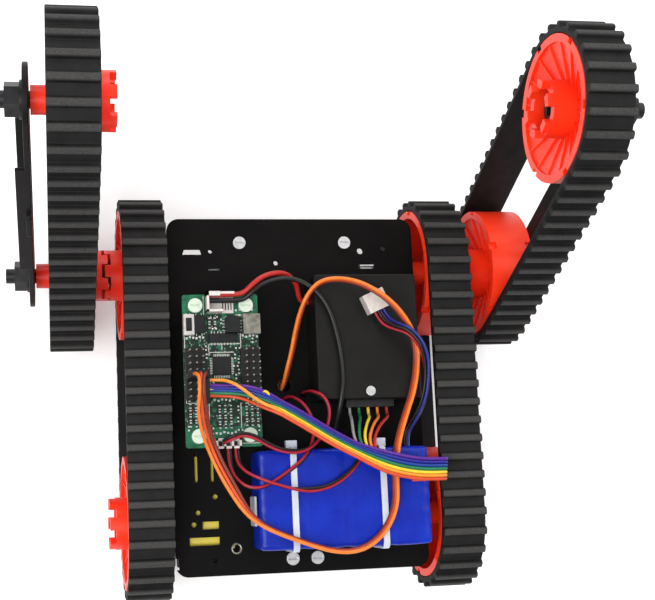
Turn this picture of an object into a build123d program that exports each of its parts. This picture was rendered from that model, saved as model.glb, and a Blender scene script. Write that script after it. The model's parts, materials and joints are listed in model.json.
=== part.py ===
"""Tracked robot with two flipper tracks in front, both raised. Millimetres.

+Z is up, +Y is forwards and +X is to the right. The origin is on the floor, under the
middle of the robot's outline. Two wheels carry each belt. The front wheel of a main track
turns freely on the arm shaft and drives the flipper's wheel beside it through a ring of
dogs, while a servo turns the arm shaft and so raises or lowers the flipper.
"""

import os
from math import cos, pi, radians, sin, tan

from build123d import *

os.makedirs("parts", exist_ok=True)

# ---------------------------------------------------------------- driving dimensions
wheelbase = 101.0  # between the two axles of every track
wheel_radius = 26.6
track_width = 17.5
belt_play = 0.3  # between a rim and the belt round it
belt_thickness = 2.0
rib_height = 2.1
rib_width = 3.2
rib_bevel = 0.7
ribs_per_run = 14  # rib pitches along each straight run
ribs_per_bend = 12  # rib pitches round each wheel

dog_gap = 10.8  # between a main track and its flipper
dog_reach = 6.0  # how far a ring of dogs stands out of its wheel
dog_depth = 2.4
dog_outer_radius = 10.4
dog_inner_radius = 7.6
dog_teeth = 6
dog_gap_angle = 33.0
dog_floor = 2.0  # of wheel in front of the web's low edge, inside the ring
hub_radius = 5.0
hub_reach = 5.1  # the slim hub on a wheel's other side
rim_thickness = 3.0
rim_lip = 1.2  # from the rim's edge to the dished web
dish_depth = 4.3
web_thickness = 2.4
spoke_count = 16
spoke_width = 0.8
spoke_height = 0.8
spoke_root = 0.6  # of each spoke inside the web, the rim and the ring
rim_notch = (3.0, 1.6, 2.5)  # along the rim, inwards and across
rim_notches = 6

shaft_radius = 3.0
running_play = 0.05  # radial, between a shaft and the bore that turns on it
fixed_play = 0.02  # radial, between pieces that don't turn in each other
end_play = 0.3  # between faces that turn past each other
cap_head = 4.0
cap_socket = (5.0, 2.5)  # across its flats, and its depth

arm_rest_angle = 65.0  # above level
arm_sheet = 2.0
arm_width = 25.0
arm_slot = (50.0, 9.0)
arm_flange = 3.3
arm_flange_run = 58.0
arm_tab = (12.0, 5.0)
arm_clearance = 0.6  # from the flipper wheel's slim hub to the arm
nut_across_flats = 10.5
nut_thickness = 5.0
washer_radius = 6.6
washer_thickness = 1.0
stud_end = 3.5  # of shaft beyond the nut

sheet = 1.5  # of the chassis and the deck
deck_width = 103.0
deck_overhang = (2.2, 1.3)  # of the deck beyond the rear and front ends of the tray's sides
deck_corner = 5.0
deck_lift = 0.25  # between the gearboxes and the deck above them
belt_gap = 1.5  # between the deck's edge and a main track
belly_height = 8.5
side_overhang = 19.5  # of the tray's sides beyond each axle
floor_front = 30.0  # the tray's floor ends here, forward of the chassis's middle
tray_corner = 8.0
side_flange = (12.0, 38.0, 7.0)  # where it starts and ends, and its width
bar_thickness = 2.0
bar_width = 6.0
bar_inset = (0.4, 3.0)  # from the rear and front ends of the tray's sides to a crossbar
front_pad = (54.0, 4.5)

gearbox_size = (18.8, 37.0, 22.5)
gearbox_nose = 11.5  # from the output shaft to the gearbox's near end
gearbox_bore = 8.0
can_radius = 10.0
can_flat = 7.5  # half the width over the can's two flats
can_length = 27.0
motor_screw_pitch = 17.5
motor_screw_back = 20.0  # from the rear axle to the motor's screws

servo_size = (26.5, 12.2, 23.0)
servo_nose = 6.0  # from the output shaft to the case's near end
servo_boss_radius = 3.0
servo_boss = 1.2
servo_ear = (2.5, 4.8)  # thickness and reach
servo_ear_depth = 7.6  # from the case's output face to the ears
servo_post_radius = 2.4
coupler_radius = 5.2
coupler_length = 6.3
bush_radius = 4.5
bush_flange_radius = 5.7
bush_flange = 1.0

screw_radius = 1.5
screw_head_radius = 2.6
screw_head = 1.8
screw_slot = (3.6, 0.7, 0.6)

board_size = (30.0, 60.0, 1.6)
board_corner = 1.0
board_inset = 18.9  # from the deck's left edge to the board's middle
board_forward = 58.1  # from the rear axle to the board's middle
board_post = 12.0
post_radius = 2.75
board_hole_inset = (5.0, 4.5)  # from the board's edges to the middles of its holes
nylon_head_radius = 2.85
nylon_head = 1.9
nylon_depth = 6.0
pin_pitch = 2.54
pin_width = 0.64
pin_free = 6.0
header_base = 2.54
header_column_count = 3
plug_lift = 0.15  # between a plug and the header under it
servo_plug_height = 14.0
ribbon_plug_height = 7.0
ribbon_plug_length = 9.35
ribbon_plug_side = 1.96  # from its pins to the face that the ribbon leaves

battery_size = (69.5, 38.5, 18.3)
battery_middle = (13.3, 7.2)  # right of the chassis's middle and forward of the rear axle
battery_round = 2.0
pad_thickness = 1.0
tie_width = 2.5
tie_thickness = 0.9
tie_play = 0.05
tie_places = (-7.0, 28.5)
tie_head = (4.4, 3.4, 3.0)

module_size = (42.0, 50.0, 16.0)
module_middle = (26.0, 20.0)
module_wall = 1.5
balance_plug_size = (9.1, 7.8, 5.5)
balance_plug_turn = 24.0
balance_plug_middle = (28.9, 33.4)

wire = 1.6  # diameters
power_wire = 2.0
servo_lead = 3.4
balance_lead = 3.0
tail_wire = 1.2
ribbon = (9.1, 1.3)
corner_share = 0.45  # of the shorter run beside a cord's corner

# ---------------------------------------------------------------- what follows from them
sides = {"left": -1, "right": 1}
belt_inner = wheel_radius + belt_play
belt_outer = belt_inner + belt_thickness
track_radius = belt_outer + rib_height
axle_height = track_radius

main_inner = deck_width / 2 + belt_gap
main_outer = main_inner + track_width
flipper_inner = main_outer + dog_gap
flipper_outer = flipper_inner + track_width
side_outer = main_inner - hub_reach - end_play
side_inner = side_outer - sheet
arm_inner = flipper_outer + hub_reach + arm_clearance
arm_outer = arm_inner + arm_sheet
nut_seat = arm_outer + washer_thickness
shaft_tip = nut_seat + nut_thickness + stud_end

arm_along = (0.0, cos(radians(arm_rest_angle)), sin(radians(arm_rest_angle)))
nose_reach = wheelbase / 2 + wheelbase * arm_along[1] + track_radius
tail_reach = wheelbase / 2 + track_radius
mid_y = (tail_reach - nose_reach) / 2  # the chassis's middle
front_y = mid_y + wheelbase / 2
rear_y = mid_y - wheelbase / 2
tip_y = front_y + wheelbase * arm_along[1]
tip_z = axle_height + wheelbase * arm_along[2]
arm_mid_y = (front_y + tip_y) / 2
arm_mid_z = (axle_height + tip_z) / 2

deck_under = axle_height + gearbox_size[2] / 2 + deck_lift
deck_height = deck_under + sheet  # of its upper face
board_under = deck_height + board_post
board_top = board_under + board_size[2]
module_top = deck_height + module_size[2]


def write(part, name):
    """Labels a finished piece and writes it to its own file."""
    part.label = name
    export_step(part, f"parts/{name}.step")


def block(x_span, y_span, z_span, mode=Mode.ADD):
    """A box between two X, two Y and two Z places, in the part being built."""
    spans = [sorted(span) for span in (x_span, y_span, z_span)]
    with Locations(tuple((low + high) / 2 for low, high in spans)):
        Box(*[high - low for low, high in spans], mode=mode)


def rod(radius, x_span, y, z, mode=Mode.ADD):
    """A cylinder along X."""
    low, high = sorted(x_span)
    with Locations(Location(((low + high) / 2, y, z), (0, 90, 0))):
        Cylinder(radius, high - low, mode=mode)


def post(radius, x, y, z_span, mode=Mode.ADD):
    """A cylinder along Z."""
    low, high = sorted(z_span)
    with Locations((x, y, (low + high) / 2)):
        Cylinder(radius, high - low, mode=mode)


# ---------------------------------------------------------------- wheels
# The wheel lies along X with its back face at X = 0 and its ring of dogs towards +X.
dish_high = track_width - rim_lip
dish_low = dish_high - dish_depth
rim_inner = wheel_radius - rim_thickness
web_slope = dish_depth / (rim_inner - dog_outer_radius)
web_back_low = dish_low - web_thickness - (dog_outer_radius - hub_radius) * web_slope
ring_floor = dish_low + dog_floor
ring_top = track_width + dog_reach
bore_radius = shaft_radius + running_play
notch_turn = 180 / rim_notches / 2

with BuildPart() as wheel:
    with BuildSketch(Plane.XZ):
        Polygon(
            (0, rim_inner),
            (0, wheel_radius),
            (track_width, wheel_radius),
            (track_width, rim_inner),
            (dish_high, rim_inner),
            (dish_low, dog_outer_radius),
            (ring_top, dog_outer_radius),
            (ring_top, dog_inner_radius),
            (ring_floor, dog_inner_radius),
            (ring_floor, bore_radius),
            (-hub_reach, bore_radius),
            (-hub_reach, hub_radius),
            (web_back_low, hub_radius),
            (dish_high - web_thickness, rim_inner),
            align=None,
        )
    revolve(axis=Axis.X)
    for number in range(spoke_count):
        with BuildSketch(Plane.XZ.rotated((number * 360 / spoke_count, 0, 0))):
            Polygon(
                (dish_low - spoke_root, dog_outer_radius - spoke_root),
                (dish_high - spoke_root, rim_inner + spoke_root),
                (dish_high + spoke_height, rim_inner + spoke_root),
                (dish_low + spoke_height, dog_outer_radius - spoke_root),
                align=None,
            )
        extrude(amount=spoke_width / 2, both=True)
    gap_low = dog_inner_radius - 1
    gap_high = dog_outer_radius + 1
    gap_slope = tan(radians(dog_gap_angle / 2))
    with BuildSketch(Plane.YZ.offset(ring_top - dog_depth)):
        with PolarLocations(0, dog_teeth):
            Polygon(
                (gap_low, -gap_low * gap_slope),
                (gap_high, -gap_high * gap_slope),
                (gap_high, gap_high * gap_slope),
                (gap_low, gap_low * gap_slope),
                align=None,
            )
    extrude(amount=dog_depth, mode=Mode.SUBTRACT)
    for notch_start in (0, track_width - rim_notch[2]):
        with BuildSketch(Plane.YZ.offset(notch_start)):
            with PolarLocations(wheel_radius, rim_notches, start_angle=notch_turn):
                Rectangle(2 * rim_notch[1], rim_notch[0])
        extrude(amount=rim_notch[2], mode=Mode.SUBTRACT)


def place_wheel(name, back_x, y, z, ring_side, turn=0.0):
    """One wheel with its back face at back_x and its ring of dogs towards ring_side."""
    half_turn = 90 - 90 * ring_side
    with BuildPart() as placed:
        add(wheel.part.moved(Location((back_x, y, z), (turn, 0, half_turn))))
    write(placed.part, name)


mesh_turn = 180 / dog_teeth  # one wheel's dogs lie in the other's gaps
for word, side in sides.items():
    place_wheel(f"{word}_front_wheel", side * main_inner, front_y, axle_height, side)
    place_wheel(f"{word}_rear_wheel", side * main_inner, rear_y, axle_height, side)
    place_wheel(f"{word}_flipper_wheel", side * flipper_outer, front_y, axle_height, -side, mesh_turn)
    place_wheel(f"{word}_tip_wheel", side * flipper_outer, tip_y, tip_z, -side)


# ---------------------------------------------------------------- belts
def track(name, x_inner, middle_y, middle_z, along):
    """A ribbed belt round two wheels, whose axles lie wheelbase apart along `along`."""
    pitch = wheelbase / ribs_per_run
    bend = 180 / ribs_per_bend
    half = rib_width / 2
    seats = []
    for end in (-1, 1):
        for number in range(ribs_per_bend + 1):
            angle = number * bend - 90 * end
            place = (
                end * wheelbase / 2 + belt_outer * cos(radians(angle)),
                belt_outer * sin(radians(angle)),
                0,
            )
            seats.append(Location(place, (0, 0, angle)))
        for number in range(1, ribs_per_run):
            place = (number * pitch - wheelbase / 2, end * belt_outer, 0)
            seats.append(Location(place, (0, 0, end * 90)))
    with BuildPart() as belt:
        face = Plane(origin=(x_inner, middle_y, middle_z), x_dir=along, z_dir=(1, 0, 0))
        with BuildSketch(face):
            SlotCenterToCenter(wheelbase, 2 * belt_outer)
            with Locations(*seats):
                Polygon(
                    (-belt_thickness / 4, -half),
                    (rib_height - rib_bevel, -half),
                    (rib_height, rib_bevel - half),
                    (rib_height, half - rib_bevel),
                    (rib_height - rib_bevel, half),
                    (-belt_thickness / 4, half),
                    align=None,
                )
            SlotCenterToCenter(wheelbase, 2 * belt_inner, mode=Mode.SUBTRACT)
        extrude(amount=track_width)
    write(belt.part, name)


for word, side in sides.items():
    main_low = min(side * main_inner, side * main_outer)
    flipper_low = min(side * flipper_inner, side * flipper_outer)
    track(f"{word}_track", main_low, mid_y, axle_height, (0, 1, 0))
    track(f"{word}_flipper_track", flipper_low, arm_mid_y, arm_mid_z, arm_along)

# ---------------------------------------------------------------- arms and axles
coupler_out = side_inner - bush_flange - end_play
coupler_in = coupler_out - coupler_length
tip_head = flipper_outer - ring_floor - end_play
rear_cap = main_inner + ring_floor
for word, side in sides.items():
    # The arm is a slotted plate of sheet with two flanges that stiffen it.
    with BuildPart() as arm:
        arm_face = Plane(
            origin=(side * arm_inner, arm_mid_y, arm_mid_z), x_dir=arm_along, z_dir=(side, 0, 0)
        )
        with BuildSketch(arm_face):
            SlotCenterToCenter(wheelbase, arm_width)
            with Locations((0, side * arm_width / 2)):
                RectangleRounded(*arm_tab, radius=arm_tab[1] / 3)
            SlotOverall(*arm_slot, mode=Mode.SUBTRACT)
            with Locations((-wheelbase / 2, 0), (wheelbase / 2, 0)):
                Circle(shaft_radius + fixed_play, mode=Mode.SUBTRACT)
        extrude(amount=arm_sheet)
        with BuildSketch(arm_face.offset(arm_sheet)):
            with GridLocations(1, arm_width - sheet, 1, 2):
                Rectangle(arm_flange_run, sheet)
        extrude(amount=arm_flange)
    write(arm.part, f"{word}_arm_plate")

    # The arm shaft ends inside the chassis, in the coupler that the servo turns.
    with BuildPart() as shaft:
        rod(shaft_radius, (side * coupler_in, side * shaft_tip), front_y, axle_height)
        rod(coupler_radius, (side * coupler_in, side * coupler_out), front_y, axle_height)
    write(shaft.part, f"{word}_arm_shaft")

    # Nuts and washers on both ends of the arm, and the cap screw that the tip wheel turns on.
    with BuildPart() as fasteners:
        for y, z in ((front_y, axle_height), (tip_y, tip_z)):
            nut_face = Plane(origin=(side * nut_seat, y, z), x_dir=arm_along, z_dir=(side, 0, 0))
            with BuildSketch(nut_face.offset(-washer_thickness)):
                Circle(washer_radius)
                Circle(shaft_radius + fixed_play, mode=Mode.SUBTRACT)
            extrude(amount=washer_thickness)
            with BuildSketch(nut_face):
                RegularPolygon(nut_across_flats / 2, 6, major_radius=False)
                Circle(shaft_radius + fixed_play, mode=Mode.SUBTRACT)
            extrude(amount=nut_thickness)
        head_face = Plane(
            origin=(side * (tip_head - cap_head), tip_y, tip_z), x_dir=(0, 1, 0), z_dir=(side, 0, 0)
        )
        rod(shaft_radius, (side * tip_head, side * shaft_tip), tip_y, tip_z)
        rod(hub_radius, (side * (tip_head - cap_head), side * tip_head), tip_y, tip_z)
        with BuildSketch(head_face):
            RegularPolygon(cap_socket[0] / 2, 6, major_radius=False)
        extrude(amount=cap_socket[1], mode=Mode.SUBTRACT)
    write(fasteners.part, f"{word}_arm_fasteners")

    # The rear axle is a cap screw too. It runs from the gearbox through the rear wheel.
    with BuildPart() as rear_axle:
        axle_end = side_inner - gearbox_bore + end_play
        rod(shaft_radius, (side * axle_end, side * rear_cap), rear_y, axle_height)
        rod(hub_radius, (side * rear_cap, side * (rear_cap + cap_head)), rear_y, axle_height)
        cap_face = Plane(
            origin=(side * (rear_cap + cap_head - cap_socket[1]), rear_y, axle_height),
            x_dir=(0, 1, 0),
            z_dir=(side, 0, 0),
        )
        with BuildSketch(cap_face):
            RegularPolygon(cap_socket[0] / 2, 6, major_radius=False)
        extrude(amount=cap_socket[1], mode=Mode.SUBTRACT)
    write(rear_axle.part, f"{word}_rear_axle")

# ---------------------------------------------------------------- gear motors and servos
box_rear = rear_y - gearbox_nose
box_front = box_rear + gearbox_size[1]
box_low = axle_height - gearbox_size[2] / 2
box_inner = side_inner - gearbox_size[0]
servo_outer = coupler_in - servo_boss - end_play
servo_inner = servo_outer - servo_size[0]
servo_high = axle_height + servo_nose
servo_low = servo_high - servo_size[2]
ear_outer = servo_outer - servo_ear_depth
post_heights = (servo_high + servo_ear[1] / 2, servo_low - servo_ear[1] / 2)
for word, side in sides.items():
    with BuildPart() as gearbox:
        block(
            (side * box_inner, side * side_inner),
            (box_rear, box_front),
            (box_low, box_low + gearbox_size[2]),
        )
        fillet(gearbox.edges().filter_by(Axis.X).group_by(Axis.Y)[0], radius=gearbox_nose / 3)
        rod(bore_radius, (side * (side_inner - gearbox_bore), side * side_inner), rear_y, axle_height,
            Mode.SUBTRACT)
    write(gearbox.part, f"{word}_gearbox")

    with BuildPart() as servo:
        servo_width = (front_y - servo_size[1] / 2, front_y + servo_size[1] / 2)
        block((side * servo_inner, side * servo_outer), servo_width, (servo_low, servo_high))
        block(
            (side * (ear_outer - servo_ear[0]), side * ear_outer),
            servo_width,
            (servo_low - servo_ear[1], servo_high + servo_ear[1]),
        )
        boss_end = servo_outer + servo_boss
        rod(servo_boss_radius, (side * servo_outer, side * boss_end), front_y, axle_height)
    write(servo.part, f"{word}_servo")

with BuildPart() as motor_cans:
    for side in sides.values():
        can_seat = Plane(
            origin=(side * (side_inner + box_inner) / 2, box_front, axle_height),
            x_dir=(1, 0, 0),
            z_dir=(0, 1, 0),
        )
        with BuildSketch(can_seat):
            Circle(can_radius)
            Rectangle(2 * can_flat, 2 * can_radius, mode=Mode.INTERSECT)
        extrude(amount=can_length)
write(motor_cans.part, "motor_cans")

with BuildPart() as servo_posts:
    for side in sides.values():
        for height in post_heights:
            rod(servo_post_radius, (side * ear_outer, side * side_inner), front_y, height)
write(servo_posts.part, "servo_posts")

with BuildPart() as shaft_bushes:
    for side in sides.values():
        flange_in = side_inner - bush_flange
        rod(bush_flange_radius, (side * flange_in, side * side_inner), front_y, axle_height)
        rod(bush_radius, (side * side_inner, side * side_outer), front_y, axle_height)
        rod(bore_radius, (side * flange_in, side * side_outer), front_y, axle_height, Mode.SUBTRACT)
write(shaft_bushes.part, "shaft_bushes")

side_screw_places = [(front_y, height) for height in post_heights]
side_screw_places += [
    (rear_y + motor_screw_back, axle_height + half * motor_screw_pitch / 2) for half in (-1, 1)
]
with BuildPart() as side_screws:
    for side in sides.values():
        for y, z in side_screw_places:
            rod(screw_head_radius, (side * side_outer, side * (side_outer + screw_head)), y, z)
            rod(screw_radius - fixed_play, (side * side_inner, side * side_outer), y, z)
write(side_screws.part, "side_screws")

# ---------------------------------------------------------------- chassis tray
tray_rear = rear_y - side_overhang
tray_front = front_y + side_overhang
with BuildPart() as tray:
    through = (-side_outer - 1, side_outer + 1)
    block((-side_outer, side_outer), (tray_rear, tray_front), (belly_height, deck_under))
    block(
        (-side_inner, side_inner),
        (tray_rear - 1, tray_front + 1),
        (belly_height + sheet, deck_under + 1),
        Mode.SUBTRACT,
    )
    block(
        (-side_inner, side_inner),
        (mid_y + floor_front, tray_front + 1),
        (belly_height - 1, deck_under),
        Mode.SUBTRACT,
    )
    for side in sides.values():
        block(
            (side * side_inner, side * (side_inner - side_flange[2])),
            (mid_y + side_flange[0], mid_y + side_flange[1]),
            (deck_under - sheet, deck_under),
        )
    lower_edges = tray.edges().filter_by(Axis.X).group_by(Axis.Z)[0]
    fillet(lower_edges.group_by(Axis.Y)[-1], radius=tray_corner)
    rod(bush_radius + fixed_play, through, front_y, axle_height, Mode.SUBTRACT)
    rod(hub_radius + end_play, through, rear_y, axle_height, Mode.SUBTRACT)
    for y, z in side_screw_places:
        rod(screw_radius, through, y, z, Mode.SUBTRACT)
write(tray.part, "chassis_tray")

# ---------------------------------------------------------------- deck and what holds it
front_bar = tray_front - bar_inset[1]
rear_bar = tray_rear + bar_inset[0]
deck_screw_places = [
    (-22.0, front_bar - bar_width),
    (22.0, front_bar - bar_width),
    (-5.0, rear_bar + bar_width / 2),
    (5.0, rear_bar + bar_width / 2),
]
bar_levels = (deck_under - bar_thickness, deck_under)
with BuildPart() as crossbars:
    bar_span = (-side_inner, side_inner)
    pad_span = (-front_pad[0] / 2, front_pad[0] / 2)
    pad_start = front_bar - bar_width - front_pad[1] / 2
    block(bar_span, (front_bar - bar_width, front_bar), bar_levels)
    block(pad_span, (pad_start, front_bar - bar_width / 2), bar_levels)
    block(bar_span, (rear_bar, rear_bar + bar_width), bar_levels)
    for x, y in deck_screw_places:
        post(screw_radius, x, y, (bar_levels[0] - 1, deck_under + 1), Mode.SUBTRACT)
write(crossbars.part, "crossbars")

cover_screw_inset = 3.0  # from the module's rear face
cover_screw_scale = 0.75  # of the deck's screws
cover_screw = (
    module_middle[0],
    mid_y + module_middle[1] - module_size[1] / 2 + cover_screw_inset,
)
cover_screw_low = module_top - 2 * module_wall
with BuildPart() as deck_screws:
    for x, y in deck_screw_places:
        post(screw_head_radius, x, y, (deck_height, deck_height + screw_head))
        post(screw_radius - fixed_play, x, y, (bar_levels[0] - 1, deck_height))
        block(
            (x - screw_slot[0] / 2, x + screw_slot[0] / 2),
            (y - screw_slot[1] / 2, y + screw_slot[1] / 2),
            (deck_height + screw_head - screw_slot[2], deck_height + screw_head + 1),
            Mode.SUBTRACT,
        )
    cover_head = (module_top, module_top + screw_head / 2)
    post(screw_head_radius * cover_screw_scale, *cover_screw, cover_head)
    cover_shank = screw_radius * cover_screw_scale - fixed_play
    post(cover_shank, *cover_screw, (cover_screw_low, module_top))
write(deck_screws.part, "deck_screws")

deck_slots = [  # x and y of the middle, then the length along X and along Y
    (-32.5, 50.5, 4.8, 1.0),
    (31.5, 51.8, 7.0, 2.8),
    (-37.2, -52.4, 6.6, 3.0),
    (-39.8, -58.6, 12.0, 3.2),
    (-42.4, -29.5, 1.2, 11.6),
    (-36.0, -29.5, 1.2, 11.6),
    (-50.8, -67.0, 1.4, 4.4),
]
deck_holes = [
    (-33.9, 57.8, 0.8),
    (-6.8, 52.9, 1.0),
    (29.1, 57.8, 1.3),
    (38.8, 58.9, 1.0),
    (-35.9, -66.2, 1.0),
    (-42.1, -47.4, 1.0),
    (-43.9, -52.0, 1.0),
    (-35.1, -41.3, 1.0),
    (-27.2, -61.8, 2.0),
]
wire_exits = [(-5.5, 2.3, 2.6), (2.5, -1.2, 1.4), (-5.4, -3.4, 1.4), (23.0, -19.8, 1.4)]
corner_slot = (-41.3, 57.6, 8.0, 2.2)
corner_slot_lean = 70  # degrees, of its slanted ends
with BuildPart() as deck:
    deck_rear = tray_rear - deck_overhang[0]
    deck_front = tray_front + deck_overhang[1]
    with BuildSketch(Plane.XY.offset(deck_under)):
        with Locations((0, (deck_rear + deck_front) / 2)):
            RectangleRounded(deck_width, deck_front - deck_rear, deck_corner)
        for x, y, wide, long in deck_slots:
            with Locations((x, mid_y + y)):
                Rectangle(wide, long, mode=Mode.SUBTRACT)
        for x, y, radius in deck_holes + wire_exits:
            with Locations((x, mid_y + y)):
                Circle(radius, mode=Mode.SUBTRACT)
        with Locations((corner_slot[0], mid_y + corner_slot[1])):
            Trapezoid(corner_slot[2], corner_slot[3], corner_slot_lean, mode=Mode.SUBTRACT)
        for x, y in deck_screw_places:
            with Locations((x, y)):
                Circle(screw_radius + running_play, mode=Mode.SUBTRACT)
    extrude(amount=sheet)
write(deck.part, "top_plate")

# ---------------------------------------------------------------- controller board
# Places on the board are counted from its middle.
board_x = board_inset - deck_width / 2
board_y = rear_y + board_forward
board_holes = (board_size[0] - 2 * board_hole_inset[0], board_size[1] - 2 * board_hole_inset[1])
with BuildPart() as board:
    with BuildSketch(Plane.XY.offset(board_under)):
        with Locations((board_x, board_y)):
            RectangleRounded(board_size[0], board_size[1], board_corner)
            with GridLocations(*board_holes, 2, 2):
                Circle(screw_radius + running_play, mode=Mode.SUBTRACT)
    extrude(amount=board_size[2])
write(board.part, "controller_board")

with BuildPart() as board_posts:
    for x in (board_x - board_holes[0] / 2, board_x + board_holes[0] / 2):
        for y in (board_y - board_holes[1] / 2, board_y + board_holes[1] / 2):
            post(post_radius, x, y, (deck_height, board_under))
            thread_span = (board_under - nylon_depth - 1, board_under)
            post(screw_radius + fixed_play, x, y, thread_span, Mode.SUBTRACT)
    for x in (board_x - board_holes[0] / 2, board_x + board_holes[0] / 2):
        for y in (board_y - board_holes[1] / 2, board_y + board_holes[1] / 2):
            post(nylon_head_radius, x, y, (board_top, board_top + nylon_head))
            post(screw_radius, x, y, (board_under - nylon_depth, board_top))
            block(
                (x - screw_slot[0] / 2, x + screw_slot[0] / 2),
                (y - screw_slot[1] / 2, y + screw_slot[1] / 2),
                (board_top + nylon_head - screw_slot[2], board_top + nylon_head + 1),
                Mode.SUBTRACT,
            )
write(board_posts.part, "board_posts")

# Two blocks of header pins: the x of the middle column, and how many rows.
header_places = [-10.8, 11.1]
header_row_counts = [8, 7]
first_row = 7.4  # the y of each block's first row
header_top = board_top + header_base
pin_top = header_top + pin_free
header_half = header_column_count * pin_pitch / 2
with BuildPart() as pin_headers:
    for place, rows in zip(header_places, header_row_counts):
        block(
            (board_x + place - header_half, board_x + place + header_half),
            (
                board_y + first_row + pin_pitch / 2,
                board_y + first_row - (rows - 0.5) * pin_pitch,
            ),
            (board_top, header_top),
        )
write(pin_headers.part, "pin_headers")

with BuildPart() as header_pins:
    for place, rows in zip(header_places, header_row_counts):
        middle = board_y + first_row - (rows - 1) * pin_pitch / 2
        with Locations((board_x + place, middle, header_top + pin_free / 2)):
            with GridLocations(pin_pitch, pin_pitch, header_column_count, rows):
                Box(pin_width, pin_width, pin_free)
write(header_pins.part, "header_pins")

chips = [  # x and y of the middle, then the size
    (-0.1, 1.7, 7.3, 7.3, 1.2),
    (4.5, 17.6, 5.8, 6.1, 3.0),
    (-8.6, 18.1, 4.4, 6.9, 2.6),
    (0.6, 12.6, 11.0, 3.4, 1.7),
]
with BuildPart() as board_chips:
    for x, y, wide, long, high in chips:
        block(
            (board_x + x - wide / 2, board_x + x + wide / 2),
            (board_y + y - long / 2, board_y + y + long / 2),
            (board_top, board_top + high),
        )
write(board_chips.part, "board_chips")

small_places = [(-10.8, -17.4), (0.6, -18.2), (11.2, -17.4), (-3.4, 18.6)]  # of a group's middle
small_counts = [(3, 4), (3, 4), (3, 4), (2, 2)]  # columns and rows
small_size = (1.0, 1.6, 0.8)
small_pitch = (2.2, 2.4)
capacitors = [(0.6, -9.1), (3.2, -9.1)]
capacitor_size = (1.1, 1.6)
with BuildPart() as board_smalls:
    for (x, y), counts in zip(small_places, small_counts):
        with Locations((board_x + x, board_y + y, board_top + small_size[2] / 2)):
            with GridLocations(*small_pitch, *counts):
                Box(*small_size)
    for x, y in capacitors:
        post(
            capacitor_size[0],
            board_x + x,
            board_y + y,
            (board_top, board_top + capacitor_size[1]),
        )
write(board_smalls.part, "board_smalls")

# Sockets of the wires: the span along X, the length along Y, how far the socket stands out past
# the board's end, and the height. The power socket is at the front end, the motors' at the rear.
power_socket = ((-5.9, 5.1), 8.0, 0.4, 6.0)
motor_socket = ((-3.9, 6.1), 4.0, 0.6, 4.0)
power_socket_front = board_y + board_size[1] / 2 + power_socket[2]
motor_socket_rear = board_y - board_size[1] / 2 - motor_socket[2]
power_socket_y = (power_socket_front - power_socket[1], power_socket_front)
motor_socket_y = (motor_socket_rear, motor_socket_rear + motor_socket[1])
with BuildPart() as board_sockets:
    for (x_span, _, _, high), y_span in (
        (power_socket, power_socket_y),
        (motor_socket, motor_socket_y),
    ):
        block([board_x + x for x in x_span], y_span, (board_top, board_top + high))
write(board_sockets.part, "board_sockets")

usb_overhang = 0.4  # beyond the board's right edge
usb_size = (6.8, 8.0, 2.8)
usb_forward = 17.9
usb_wall = 0.4
usb_back = 2.0  # of metal behind the opening
usb_right = board_x + board_size[0] / 2 + usb_overhang
usb_rear = board_y + usb_forward - usb_size[1] / 2
with BuildPart() as usb_socket:
    block(
        (usb_right - usb_size[0], usb_right),
        (usb_rear, usb_rear + usb_size[1]),
        (board_top, board_top + usb_size[2]),
    )
    block(
        (usb_right - usb_size[0] + usb_back, usb_right + 1),
        (usb_rear + usb_wall, usb_rear + usb_size[1] - usb_wall),
        (board_top + usb_wall, board_top + usb_size[2] - usb_wall),
        Mode.SUBTRACT,
    )
write(usb_socket.part, "usb_socket")

# The slide switch: its knob moves switch_travel forwards along a slot in its top.
switch_size = (4.2, 8.1, 3.5)
switch_middle = (board_x - 12.9, board_y + 17.8)
knob_size = (1.4, 2.0, 3.0)
knob_sunk = 1.5
switch_travel = 2.0
switch_play = 0.1
switch_top = board_top + switch_size[2]
slot_floor = switch_top - knob_sunk - switch_play
knob_rear = switch_middle[1] - (knob_size[1] + switch_travel) / 2
with BuildPart() as switch_body:
    with Locations((switch_middle[0], switch_middle[1], board_top + switch_size[2] / 2)):
        Box(*switch_size)
    block(
        (
            switch_middle[0] - knob_size[0] / 2 - switch_play,
            switch_middle[0] + knob_size[0] / 2 + switch_play,
        ),
        (knob_rear - switch_play, knob_rear + knob_size[1] + switch_travel + switch_play),
        (slot_floor, switch_top + 1),
        Mode.SUBTRACT,
    )
write(switch_body.part, "switch_body")

with BuildPart() as switch_knob:
    block(
        (switch_middle[0] - knob_size[0] / 2, switch_middle[0] + knob_size[0] / 2),
        (knob_rear, knob_rear + knob_size[1]),
        (switch_top - knob_sunk, switch_top - knob_sunk + knob_size[2]),
    )
write(switch_knob.part, "switch_knob")

# ---------------------------------------------------------------- battery
battery_x = (battery_middle[0] - battery_size[0] / 2, battery_middle[0] + battery_size[0] / 2)
battery_rear = rear_y + battery_middle[1] - battery_size[1] / 2
battery_front = battery_rear + battery_size[1]
battery_low = deck_height + pad_thickness
battery_top = battery_low + battery_size[2]
with BuildPart() as battery:
    block(battery_x, (battery_rear, battery_front), (battery_low, battery_top))
    fillet(battery.edges().filter_by(Axis.X), radius=battery_round)
write(battery.part, "battery_pack")

battery_cap = (1.0, 11.4, 10.0)
cap_middle = rear_y + battery_middle[1] - 4.0
with BuildPart() as battery_end:
    block(
        (battery_x[0] - battery_cap[0], battery_x[0]),
        (cap_middle - battery_cap[1] / 2, cap_middle + battery_cap[1] / 2),
        (battery_top - battery_round - battery_cap[2], battery_top - battery_round),
    )
write(battery_end.part, "battery_end")

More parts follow.
